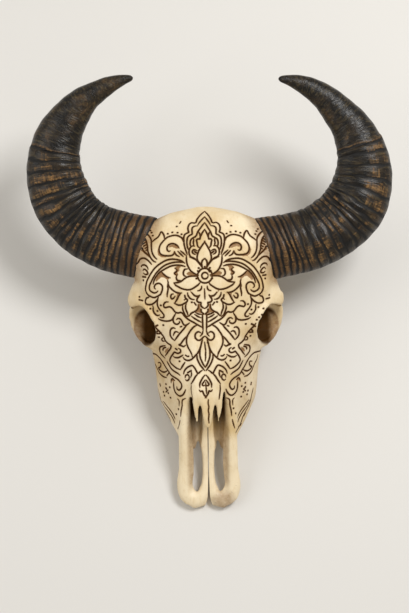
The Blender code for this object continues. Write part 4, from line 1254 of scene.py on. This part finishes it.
    dull = node(
        tree, "ShaderNodeMapRange",
        {"Value": mottle, "From Min": 0.3, "From Max": 0.7, "To Min": 0.42, "To Max": 0.62},
    ).outputs[0]
    rough = node(tree, "ShaderNodeMath", {0: line, 1: 0.2, 2: dull}, operation="MULTIPLY_ADD").outputs[0]
    tree.links.new(rough, shader.inputs["Roughness"])
    # Less shine in the cuts, which hold dust, and in the hollows, whose shade is painted
    dust_and_shade = node(tree, "ShaderNodeMath", {0: hollow, 1: line}, operation="MAXIMUM").outputs[0]
    shine = node(tree, "ShaderNodeMapRange", {"Value": dust_and_shade, "To Min": 0.5, "To Max": 0.06}).outputs[0]
    tree.links.new(shine, shader.inputs["Specular IOR Level"])
    shader.inputs["IOR"].default_value = 1.55

    sunk = node(tree, "ShaderNodeMath", {0: line, 1: ground}, operation="MAXIMUM").outputs[0]
    raised = node(tree, "ShaderNodeMath", {0: 1.0, 1: sunk}, operation="SUBTRACT").outputs[0]
    relief = {}
    for height, strength, tall in ((raised, 0.7, 0.5), (grain, 0.35, 0.35), (pores, 0.45, 0.2)):
        bump = node(
            tree, "ShaderNodeBump", {"Height": height, "Strength": strength, "Distance": tall * MM, **relief}
        )
        relief = {"Normal": bump.outputs[0]}
    tree.links.new(relief["Normal"], shader.inputs["Normal"])
    return made


# Teeth


def tooth_crown(molar):
    """An upper cheek tooth of unit size standing on z = 0: ribbed on its outer side, lobed inside, and worn
    flat below to an enamel rim round lower dentine with its lakes."""
    bpy.ops.object.select_all(action="DESELECT")
    bpy.ops.mesh.primitive_cylinder_add(vertices=64, radius=0.5, depth=1, location=(0, 0, 0.5))
    crown = added("tooth")
    bpy.ops.object.mode_set(mode="EDIT")
    for level in CROWN_LEVELS:
        bpy.ops.mesh.select_all(action="SELECT")
        bpy.ops.mesh.bisect(plane_co=(0, 0, level), plane_no=(0, 0, 1))
    bpy.ops.mesh.select_all(action="DESELECT")
    bpy.ops.object.mode_set(mode="OBJECT")
    lobes = 2 if molar else 1
    points = points_of(crown.data)
    points[:, 2] += 0.5 - points[:, 2].max() / 2 - points[:, 2].min() / 2
    turn = np.arctan2(points[:, 1], points[:, 0])
    across, along = np.cos(turn), np.sin(turn)
    x = 0.5 * np.sign(across) * np.abs(across) ** CROWN_SQUARE
    y = 0.5 * np.sign(along) * np.abs(along) ** CROWN_SQUARE
    ribs = CROWN_RIB * np.cos(y * math.tau * (lobes + 1)) * ease(0.1, 0.4, x)
    inside = ease(-0.1, -0.4, x)
    folds = -CROWN_FOLD * np.abs(np.cos(y * math.pi * lobes)) ** 0.5 * inside + CROWN_FLAT * inside
    spread = 0.96 + 0.04 * ease(0.0, 0.15, points[:, 2]) - 0.16 * ease(0.3, 1.0, points[:, 2])
    points[:, 0] = np.clip((x + ribs + folds) * spread, -0.5, 0.5)
    points[:, 1] = y * spread
    set_points(crown.data, points)
    floor = min(crown.data.polygons, key=lambda face: face.center.z)
    bpy.ops.object.mode_set(mode="EDIT")
    bpy.context.tool_settings.mesh_select_mode = (False, False, True)
    bpy.ops.object.mode_set(mode="OBJECT")
    crown.data.polygons.foreach_set("select", [face == floor for face in crown.data.polygons])
    bpy.ops.object.mode_set(mode="EDIT")
    bpy.ops.mesh.inset(thickness=ENAMEL_WIDTH)
    bpy.ops.transform.translate(value=(0, 0, DENTINE_DEPTH))
    bpy.ops.object.mode_set(mode="OBJECT")
    for i in range(lobes):
        bpy.ops.object.select_all(action="DESELECT")
        bpy.ops.mesh.primitive_torus_add(
            major_segments=32, minor_segments=10, major_radius=LAKE_RADII[0], minor_radius=LAKE_RADII[1],
            location=(0.02, (i - (lobes - 1) / 2) * LAKES_APART, DENTINE_DEPTH),
        )
        lake = added("lake")
        lake.scale = (0.8 if molar else 1.1, 1.0, 1.2)
        bpy.ops.object.transform_apply(location=True, rotation=True, scale=True)
        cut_away(crown, lake)
    return crown


def tooth_row(crowns, hand, settings, name):
    """Six copies of the two crowns in a row, grown to size and set under the jaw."""
    copies = []
    near = settings.front
    for width, length, out, molar in TEETH:
        crown = copy_of(crowns[molar], name)
        place = Vector((hand * out * MM + FACE_TO_WORLD.translation.x, near + length * MM / 2, 0))
        size = Vector((hand * width * MM, length * MM, settings.height))
        crown.data.transform(Matrix.Translation(place) @ Matrix.Diagonal((*size, 1)))
        near += length * MM + settings.gap
        copies.append(crown)
    only(*copies)
    bpy.ops.object.join()
    row = added(name)
    turn_faces_out()
    return row


def old_enamel(settings):
    """Enamel and cement of a grazer's old tooth, unpolished."""
    # Cream and faintly glossy on the ribs, with brown tartar in the folds and over the worn face
    made, tree, shader = blank_material("old_tooth_enamel")
    place = node(tree, "ShaderNodeTexCoord").outputs["Object"]
    upright = node(tree, "ShaderNodeMapping", {"Vector": place, "Scale": (1.0, 1.0, 0.12)}).outputs[0]
    streaks = node(
        tree, "ShaderNodeTexNoise", {"Vector": upright, "Scale": 1 / (2.5 * MM), "Detail": 4.0}
    ).outputs[0]
    blots = node(
        tree, "ShaderNodeTexNoise", {"Vector": place, "Scale": 1 / (7 * MM), "Detail": 5.0, "Roughness": 0.65}
    ).outputs[0]
    low = node(tree, "ShaderNodeSeparateXYZ", {0: place}).outputs[2]
    worn = node(
        tree, "ShaderNodeMapRange", {"Value": low, "From Min": 2.5 * MM, "From Max": 0.3 * MM, "To Max": 0.5}
    ).outputs[0]
    dirt = node(
        tree, "ShaderNodeMapRange", {"Value": blots, "From Min": 0.48, "From Max": 0.72}
    ).outputs[0]
    dirt = node(tree, "ShaderNodeMath", {0: dirt, 1: worn}, operation="MAXIMUM").outputs[0]
    streaked = node(
        tree, "ShaderNodeMapRange", {"Value": streaks, "From Min": 0.35, "From Max": 0.7, "To Min": 0.25}
    ).outputs[0]
    dirt = node(tree, "ShaderNodeMath", {0: dirt, 1: streaked}, operation="MULTIPLY").outputs[0]
    colour = node(
        tree, "ShaderNodeMix", {0: dirt, 6: solid(settings.enamel), 7: solid(settings.tartar)},
        data_type="RGBA",
    ).outputs[2]
    tree.links.new(colour, shader.inputs["Base Color"])
    rough = node(tree, "ShaderNodeMapRange", {"Value": dirt, "To Min": 0.32, "To Max": 0.7}).outputs[0]
    tree.links.new(rough, shader.inputs["Roughness"])
    shader.inputs["IOR"].default_value = 1.62
    relief = node(
        tree, "ShaderNodeBump", {"Height": streaks, "Strength": 0.5, "Distance": 0.3 * MM}
    ).outputs[0]
    tree.links.new(relief, shader.inputs["Normal"])
    return made


# Horns


def horn_keys(keys):
    """Each key of a horn with its share of the length, its depth and its two half thicknesses."""
    path = timed(keys)
    made = []
    for length, u, v, width in path:
        share = length / path[-1][0]
        depth = smooth_between(HORN_DEPTH, share)[0]
        flatness = smooth_between(HORN_FLATNESS, share)[0]
        made.append((share, u, v, depth, width / 2, width / 2 * flatness))
    return made


def ridge_edges(count, ridged, chance):
    """Where the growth ridges of one horn start, as shares of its length: they are narrower at the base and
    broader further out."""
    steps = [(FIRST_SPACE + SPACE_GAIN * i / count) * chance.uniform(*RIDGE_SPACES) for i in range(count)]
    edges = np.concatenate(([0.0], np.cumsum(steps)))
    return edges / edges[-1] * ridged


def ridge_profile(share, turns, edges, tall):
    """Growth ridges round one ring: their height, 1 for the tallest, the share of the horn's length between
    each point and the nearest groove, the number of the ridge, which is below 0 on the smooth tip, how far
    across the ridge each point is, and the share of the length at which it would lie on a straight ridge."""
    wander = sum(
        height * np.sin(count * turns + start + drift * share) for height, count, start, drift in RIDGE_WAVES
    )
    at = np.clip(share + wander * min(share / 0.03, 1.0), 0, 1)
    index = np.clip(np.searchsorted(edges, at, side="right") - 1, 0, len(tall) - 1)
    span = edges[index + 1] - edges[index]
    phase = np.clip((at - edges[index]) / span, 0, 1)
    # The crest is broad, leans a little towards the tip and is uneven round the horn
    rise = 1 - np.abs(2 * phase**1.15 - 1) ** 2.1
    rise *= 0.78 + 0.2 * np.sin(3 * turns + 2.4 * index) + 0.14 * np.sin(8 * turns + 5.1 * index)
    # Narrow ridges are lower, and so are those towards the tip
    breadth = 0.55 + 0.45 * np.clip(span / 0.03, 0, 1)
    fade = 1 - 0.55 * (at / edges[-1]) ** 2
    on = at < edges[-1]
    height = np.where(on, tall[index] * rise * breadth * fade, 0.0)
    gap = np.where(on, np.minimum(phase, 1 - phase) * span, np.abs(at - edges[-1]))
    return height, gap, np.where(on, index, -1), phase, at


def horn_sheath(name, keys, hand, settings, seed):
    """A horn sheath: a flat sheet rolled into a ridged, flattened cone that sweeps out and back to a smooth
    tip."""
    chance = random.Random(seed)
    ridged = RIDGED_SHARES[hand]
    edges = ridge_edges(settings.ridges, ridged, chance)
    tall = np.array([chance.uniform(*RIDGE_HEIGHTS) for _ in range(settings.ridges)])
    bpy.ops.object.select_all(action="DESELECT")
    bpy.ops.mesh.primitive_grid_add(x_subdivisions=HORN_SIDES, y_subdivisions=HORN_RINGS, size=1)
    sheath = added(name)
    timed_keys = horn_keys(keys)
    length = timed(keys)[-1][0]
    high = settings.ridge_height / MM
    turns = np.linspace(0, math.tau, HORN_SIDES + 1)
    round_x, round_y = np.cos(turns), np.sin(turns)
    outer = round_x * hand
    worn = (1 - OUTER_WORN * ease(*OUTER_WEAR, outer)) * (1 - INNER_WORN * ease(*INNER_WEAR, -outer))
    made = {"place": [], "rolled": [], "ridge": [], "groove_mm": [], "ring": [], "across": []}
    for j in range(HORN_RINGS + 1):
        share = j / HORN_RINGS
        u, v, w, across, deep = smooth_between(timed_keys, share)
        ahead = Vector(smooth_between(timed_keys, min(share + GLANCE, 1.0))[:3])
        behind = Vector(smooth_between(timed_keys, max(share - GLANCE, 0.0))[:3])
        tangent = (ahead - behind).normalized()
        side = tangent.cross(Vector((0, 0, 1))).normalized()
        up = side.cross(tangent)
        height, gap, index, phase, straight = ridge_profile(share, turns, edges, tall)
        # Past the last ridge the sheath steps down to the tip, along a ragged edge, and fills out again
        ragged = ridged + 0.006 * np.sin(2 * turns + 1) + 0.003 * np.sin(7 * turns)
        ledge = LEDGE_DROP * ease(-0.004, 0.006, share - ragged) * ease(0.93, 0.72, share)
        taper = SLIM_SHARE + (1 - SLIM_SHARE) * min(1.0, across / SLIM)
        lift = (height - RIDGE_SUNK) * high * taper * worn * (share < ridged) - ledge
        lump = LUMP * np.sin(3 * turns + 40 * share) * np.sin(90 * share + turns) * taper
        blunt = math.sqrt(1 - max(0.0, (share - BLUNT_SHARE) / (1 - BLUNT_SHARE)) ** 2 * BLUNT_END)
        wide, thick = (across + lift + lump) * blunt, (deep + lift + lump) * blunt
        ring = np.outer(wide * round_x, side) + np.outer(thick * round_y, up)
        turn = hand * SEAT_TURN * max(0.0, 1.0 - share / LEANING_SHARE)
        lean = np.array(Matrix.Rotation(turn, 3, "Z"))
        middle = np.array((u, v, w)) - np.array(tangent) * RIM_OVERLAP * (1 - share) ** OVERLAP_FADE
        made["place"].append(middle + ring @ lean.T)
        rolled = (ROLLED_RADIUS * outer, ROLLED_RADIUS * round_y, straight * length)
        made["rolled"].append(np.column_stack(rolled))
        made["ridge"].append(height)
        made["groove_mm"].append(gap * length)
        made["ring"].append(np.where(index < 0, -1, index + seed * settings.ridges))
        made["across"].append(phase)
    to_world = np.array(FACE_TO_WORLD)
    set_points(sheath.data, np.concatenate(made["place"]) @ to_world[:3, :3].T + to_world[:3, 3])
    for kept in ("ridge", "groove_mm", "ring", "across"):
        store(sheath.data, kept, np.concatenate(made[kept]))
    layer = sheath.data.attributes.new("rolled_mm", "FLOAT_VECTOR", "POINT")
    rolled = np.concatenate(made["rolled"])
    layer.data.foreach_set("vector", np.ascontiguousarray(rolled, np.float32).ravel())
    only(sheath)
    bpy.ops.object.mode_set(mode="EDIT")
    bpy.ops.mesh.select_all(action="SELECT")
    bpy.ops.mesh.remove_doubles(threshold=WELDED)
    bpy.ops.mesh.select_all(action="SELECT")
    bpy.ops.mesh.fill_holes(sides=0)
    bpy.ops.mesh.select_all(action="SELECT")
    bpy.ops.mesh.normals_make_consistent(inside=False)
    bpy.ops.object.mode_set(mode="OBJECT")
    bpy.ops.object.shade_smooth_by_angle(angle=ROUNDED_ANGLE)
    return sheath


def buffalo_horn(settings):
    """Keratin sheath of a water buffalo's horn, scraped and oiled."""
    # Near black with a low gloss; each ridge is split in places into dull ochre fibres, most of all on the
    # outer half but not along the outer edge itself; the grooves are near black, and the tip is smooth with a
    # few brown clouds
    made, tree, shader = blank_material("buffalo_horn_keratin")
    rolled = node(tree, "ShaderNodeAttribute", attribute_name="rolled_mm").outputs["Vector"]
    ridge, groove, ring, across = (
        node(tree, "ShaderNodeAttribute", attribute_name=name).outputs["Fac"]
        for name in ("ridge", "groove_mm", "ring", "across")
    )
    place = node(tree, "ShaderNodeTexCoord").outputs["Object"]
    outer, under, along = node(tree, "ShaderNodeSeparateXYZ", {0: rolled}).outputs
    # Fibres are finer in real horn, and drawn about 2.4 mm wide and 24 mm long so that they show
    lengthwise = node(tree, "ShaderNodeMapping", {"Vector": rolled, "Scale": (1.0, 1.0, 0.1)}).outputs[0]
    fibres = node(
        tree, "ShaderNodeTexNoise", {"Vector": lengthwise, "Scale": 1 / 2.4, "Detail": 5.0, "Roughness": 0.6}
    ).outputs[0]
    clouds = node(
        tree, "ShaderNodeTexNoise",
        {"Vector": place, "Scale": 1 / (30 * MM), "Detail": 6.0, "Roughness": 0.65, "Distortion": 0.6},
    ).outputs[0]
    crumbs = node(
        tree, "ShaderNodeTexNoise",
        {"Vector": place, "Scale": 1 / (3.2 * MM), "Detail": 4.0, "Roughness": 0.7},
    ).outputs[0]
    crosswise = node(tree, "ShaderNodeMapping", {"Vector": rolled, "Scale": (0.13, 0.13, 1.0)}).outputs[0]
    lamellae = node(
        tree, "ShaderNodeTexNoise", {"Vector": crosswise, "Scale": 1 / 2.6, "Detail": 5.0}
    ).outputs[0]
    # One slice of noise for each ridge, so that a patch of fibres ends at the grooves
    apart = node(tree, "ShaderNodeMath", {0: ring, 1: 13.7}, operation="MULTIPLY").outputs[0]
    slices = node(tree, "ShaderNodeCombineXYZ", {0: outer, 1: under, 2: apart}).outputs[0]
    patches = node(
        tree, "ShaderNodeTexNoise", {"Vector": slices, "Scale": 1 / 17, "Detail": 6.0, "Roughness": 0.72}
    ).outputs[0]

    brown = node(
        tree, "ShaderNodeMapRange", {"Value": clouds, "From Min": 0.42, "From Max": 0.62, "To Max": 0.8},
        interpolation_type="SMOOTHSTEP",
    ).outputs[0]
    dust = node(
        tree, "ShaderNodeMapRange", {"Value": lamellae, "From Min": 0.52, "From Max": 0.66, "To Max": 0.4}
    ).outputs[0]
    # Wet bone has stained the foot of the sheath
    foot = node(
        tree, "ShaderNodeMapRange", {"Value": along, "From Min": 70.0, "From Max": 6.0, "To Max": 1.1}
    ).outputs[0]
    foot = node(tree, "ShaderNodeMath", {0: foot, 1: clouds}, operation="MULTIPLY").outputs[0]

    below = node(
        tree, "ShaderNodeMapRange",
        {"Value": outer, "From Min": -32.0, "From Max": 18.0, "To Min": -0.08, "To Max": 0.06},
        interpolation_type="SMOOTHSTEP",
    ).outputs[0]
    regions = node(
        tree, "ShaderNodeTexNoise", {"Vector": place, "Scale": 1 / (55 * MM), "Detail": 3.0}
    ).outputs[0]
    region = node(
        tree, "ShaderNodeMapRange",
        {"Value": regions, "From Min": 0.38, "From Max": 0.6, "To Min": -0.14, "To Max": 0.08},
    ).outputs[0]
    likely = patches
    for share in (below, region):
        likely = node(tree, "ShaderNodeMath", {0: likely, 1: share}, operation="ADD").outputs[0]
    worn = node(
        tree, "ShaderNodeMapRange", {"Value": likely, "From Min": 0.46, "From Max": 0.56},
        interpolation_type="SMOOTHSTEP",
    ).outputs[0]
    rim = node(
        tree, "ShaderNodeMapRange", {"Value": outer, "From Min": 47.0, "From Max": 34.0, "To Min": 0.08},
        interpolation_type="SMOOTHSTEP",
    ).outputs[0]
    on_ridge = node(
        tree, "ShaderNodeMapRange", {"Value": ring, "From Min": -0.6, "From Max": -0.2}
    ).outputs[0]
    thread = node(
        tree, "ShaderNodeMapRange", {"Value": lamellae, "From Min": 0.4, "From Max": 0.56, "To Min": 0.2}
    ).outputs[0]
    crumbled = node(
        tree, "ShaderNodeMapRange", {"Value": fibres, "From Min": 0.4, "From Max": 0.6, "To Min": 0.2}
    ).outputs[0]
    # The side of a ridge that faces the skull keeps its fibres, and the crest is rubbed black
    uneven = node(tree, "ShaderNodeMath", {0: crumbs, 1: 2.4, 2: -1.2}, operation="MULTIPLY_ADD").outputs[0]
    uneven = node(tree, "ShaderNodeMath", {0: across, 1: uneven}, operation="ADD").outputs[0]
    facing = node(
        tree, "ShaderNodeMapRange", {"Value": uneven, "From Min": 0.74, "From Max": 0.5},
        interpolation_type="SMOOTHSTEP",
    ).outputs[0]
    tan = worn
    for share in (rim, on_ridge, thread, crumbled, facing):
        tan = node(tree, "ShaderNodeMath", {0: tan, 1: share}, operation="MULTIPLY").outputs[0]
    # The lip where the last growth ridge meets the tip is worn too
    lip = node(
        tree, "ShaderNodeMapRange", {"Value": groove, "From Min": 5.0, "From Max": 1.5, "To Max": 0.8}
    ).outputs[0]
    # So are clouds on the tip itself
    cloudy = node(
        tree, "ShaderNodeMapRange", {"Value": clouds, "From Min": 0.57, "From Max": 0.68, "To Max": 0.4}
    ).outputs[0]
    lip = node(tree, "ShaderNodeMath", {0: lip, 1: cloudy}, operation="MAXIMUM").outputs[0]
    off_ridge = node(tree, "ShaderNodeMath", {0: 1.0, 1: on_ridge}, operation="SUBTRACT").outputs[0]
    for share in (off_ridge, crumbled):
        lip = node(tree, "ShaderNodeMath", {0: lip, 1: share}, operation="MULTIPLY").outputs[0]
    tan = node(tree, "ShaderNodeMath", {0: tan, 1: lip}, operation="MAXIMUM").outputs[0]
    # Split fibres run from brown where they are still bound to ochre where they stand free
    free = node(
        tree, "ShaderNodeMapRange", {"Value": crumbs, "From Min": 0.38, "From Max": 0.62}
    ).outputs[0]
    frayed = node(
        tree, "ShaderNodeMix", {0: free, 6: solid(settings.bound), 7: solid(settings.worn)}, data_type="RGBA"
    ).outputs[2]
    # Near black reaches about 3 mm to each side of a groove's middle, with a broken edge
    broken = node(
        tree, "ShaderNodeMapRange",
        {"Value": crumbs, "From Min": 0.3, "From Max": 0.7, "To Min": -0.9, "To Max": 0.9},
    ).outputs[0]
    gap = node(tree, "ShaderNodeMath", {0: groove, 1: broken}, operation="ADD").outputs[0]
    sunk = node(
        tree, "ShaderNodeMapRange", {"Value": gap, "From Min": 3.4, "From Max": 0.9},
        interpolation_type="SMOOTHSTEP",
    ).outputs[0]
    # Coats of colour, from clean horn up to the near black in the grooves
    colour = solid(settings.dark)
    for share, over in (
        (brown, solid(settings.brown)), (dust, solid(settings.olive)), (foot, solid(settings.bound)),
        (tan, frayed), (sunk, solid(settings.dirt)),
    ):
        colour = node(tree, "ShaderNodeMix", {0: share, 6: colour, 7: over}, data_type="RGBA").outputs[2]
    tree.links.new(colour, shader.inputs["Base Color"])

    rough = node(
        tree, "ShaderNodeMapRange",
        {"Value": crumbs, "From Min": 0.3, "From Max": 0.7, "To Min": 0.2, "To Max": 0.45},
    ).outputs[0]
    for share in (tan, sunk):
        rough = node(
            tree, "ShaderNodeMath", {0: share, 1: 0.3, 2: rough}, operation="MULTIPLY_ADD"
        ).outputs[0]
    tree.links.new(rough, shader.inputs["Roughness"])
    shader.inputs["IOR"].default_value = 1.54
    shader.inputs["Specular IOR Level"].default_value = 0.3
    relief = {}
    for height, strength, tall in (
        (ridge, 0.5, 2.5), (lamellae, 0.8, 1.5), (fibres, 0.4, 0.6), (crumbs, 0.35, 0.4)
    ):
        bump = node(
            tree, "ShaderNodeBump", {"Height": height, "Strength": strength, "Distance": tall * MM, **relief}
        )
        relief = {"Normal": bump.outputs[0]}
    tree.links.new(relief["Normal"], shader.inputs["Normal"])
    return made


def coat(obj, material):
    """The finish of a piece, and the body and the finish slot that it belongs to."""
    obj.data.materials.clear()
    obj.data.materials.append(material)
    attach(obj, "root")


class BUFFALO_OT_bones(bpy.types.Operator):
    """Round the bones into one skull, carve its face and part it along the sutures"""

    bl_idname = "buffalo_skull.bones"
    bl_label = "Carve Skull Bones"

    def execute(self, context):
        bone = context.scene.skull_bone
        cuts = context.scene.skull_carving
        skull = whole_skull(bone)
        surface = BVHTree.FromObject(skull, context.evaluated_depsgraph_get())
        carving = Carving(surface, cuts.width)
        refine(skull, carving, REFINED_REACH)
        carve(skull, carving, cuts.depth)
        material = carved_bone(bone, cuts)
        for piece in part_bones(skull):
            note_new_points(piece.data)
            points = points_of(piece.data)
            store(piece.data, "stain", stain_and_shade_of(points))
            store(piece.data, "hollow", hollow_shade_of(points))
            store(piece.data, "fresh", ease(*FRESH_SPAN, face_frame(points)[:, 1]))
            only(piece)
            bpy.ops.object.shade_smooth_by_angle(angle=ROUNDED_ANGLE)
            coat(piece, material)
            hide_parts(piece.name.removeprefix(CARVED))
        return {"FINISHED"}


class BUFFALO_OT_teeth(bpy.types.Operator):
    """Model a premolar and a molar, and set the two rows of cheek teeth"""

    bl_idname = "buffalo_skull.teeth"
    bl_label = "Set Cheek Teeth"

    def execute(self, context):
        settings = context.scene.skull_teeth
        crowns = {molar: tooth_crown(molar) for molar in (False, True)}
        material = old_enamel(settings)
        for hand, word in SIDES:
            row = tooth_row(crowns, hand, settings, "cheek_teeth_" + word)
            bpy.ops.object.shade_smooth_by_angle(angle=TOOTH_ANGLE)
            coat(row, material)
        for crown in crowns.values():
            bpy.data.objects.remove(crown)
        return {"FINISHED"}


class BUFFALO_OT_horns(bpy.types.Operator):
    """Roll the two horn sheaths with their growth ridges"""

    bl_idname = "buffalo_skull.horns"
    bl_label = "Roll Horn Sheaths"

    def execute(self, context):
        settings = context.scene.skull_horns
        material = buffalo_horn(settings)
        for hand, word, keys, seed in HORNS:
            sheath = horn_sheath("ridged_horn_" + word, keys, hand, settings, seed)
            coat(sheath, material)
            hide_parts("horn_" + word)
        return {"FINISHED"}


class BUFFALO_OT_stage(bpy.types.Operator):
    """Lay the floor, hang the lights and set the camera over the face"""

    bl_idname = "buffalo_skull.stage"
    bl_label = "Set Stage"

    def execute(self, context):
        settings = context.scene.skull_stage
        bpy.ops.object.select_all(action="DESELECT")
        bpy.ops.mesh.primitive_plane_add(size=FLOOR_SIZE)
        floor = added("floor")
        made, _, shader = blank_material("matt_painted_floor")
        shader.inputs["Base Color"].default_value = solid(settings.floor)
        shader.inputs["Roughness"].default_value = 0.9
        floor.data.materials.append(made)

        turn = FACE_TO_WORLD.to_3x3().normalized()
        target = FACE_TO_WORLD @ Vector(LIGHTS_AIM)
        for name, place, width, share in LIGHTS:
            bpy.ops.object.light_add(type="AREA", location=target + turn @ Vector(place))
            light = added(name)
            light.data.shape = "DISK"
            light.data.size = width
            light.data.energy = settings.key * share
            light.rotation_euler = (target - light.location).to_track_quat("-Z", "Y").to_euler()

        world = bpy.data.worlds.new("soft_daylight")
        world.use_nodes = True
        sky = world.node_tree.nodes["Background"]
        sky.inputs["Color"].default_value = solid(linear(SKY))
        sky.inputs["Strength"].default_value = settings.fill
        context.scene.world = world
        context.scene.view_settings.view_transform = "Standard"

        bpy.ops.object.camera_add()
        camera = added("camera")
        aim = FACE_TO_WORLD @ Vector((VIEW_U, VIEW_V, 0))
        forward = (aim - EYE).normalized()
        right = forward.cross(FACE_UP).normalized()
        look = Matrix((right, FACE_UP, -forward)).transposed() @ Matrix.Rotation(VIEW_ROLL, 3, "Z")
        camera.matrix_world = Matrix.Translation(EYE) @ look.to_4x4()
        camera.data.lens = camera.data.sensor_width * VIEW_DISTANCE / (PICTURE_ROWS * PIXEL)
        context.scene.camera = camera
        return {"FINISHED"}


class BUFFALO_PT_skull(bpy.types.Panel):
    """Sizes and colours of the carved skull, and the steps that build it"""

    bl_idname = "BUFFALO_PT_skull"
    bl_label = "Carved Buffalo Skull"
    bl_space_type = "VIEW_3D"
    bl_region_type = "UI"
    bl_category = "Skull"

    def draw(self, context):
        for group, step in STEPS:
            box = self.layout.box()
            settings = getattr(context.scene, group)
            for name in settings.__annotations__:
                box.prop(settings, name)
            if step is not None:
                box.operator(step.bl_idname)


GROUPS = (
    ("skull_bone", BoneSettings),
    ("skull_carving", CarvingSettings),
    ("skull_teeth", ToothSettings),
    ("skull_horns", HornSettings),
    ("skull_stage", StageSettings),
)
STEPS = (
    ("skull_carving", None),
    ("skull_bone", BUFFALO_OT_bones),
    ("skull_teeth", BUFFALO_OT_teeth),
    ("skull_horns", BUFFALO_OT_horns),
    ("skull_stage", BUFFALO_OT_stage),
)
CLASSES = (BUFFALO_OT_bones, BUFFALO_OT_teeth, BUFFALO_OT_horns, BUFFALO_OT_stage, BUFFALO_PT_skull)


def register():
    for name, group in GROUPS:
        bpy.utils.register_class(group)
        setattr(bpy.types.Scene, name, bpy.props.PointerProperty(type=group))
    for made in CLASSES:
        bpy.utils.register_class(made)


def unregister():
    for made in reversed(CLASSES):
        bpy.utils.unregister_class(made)
    for name, group in reversed(GROUPS):
        delattr(bpy.types.Scene, name)
        bpy.utils.unregister_class(group)


def main():
    register()
    bpy.ops.buffalo_skull.bones()
    bpy.ops.buffalo_skull.teeth()
    bpy.ops.buffalo_skull.horns()
    bpy.ops.buffalo_skull.stage()


if __name__ == "__main__":
    main()
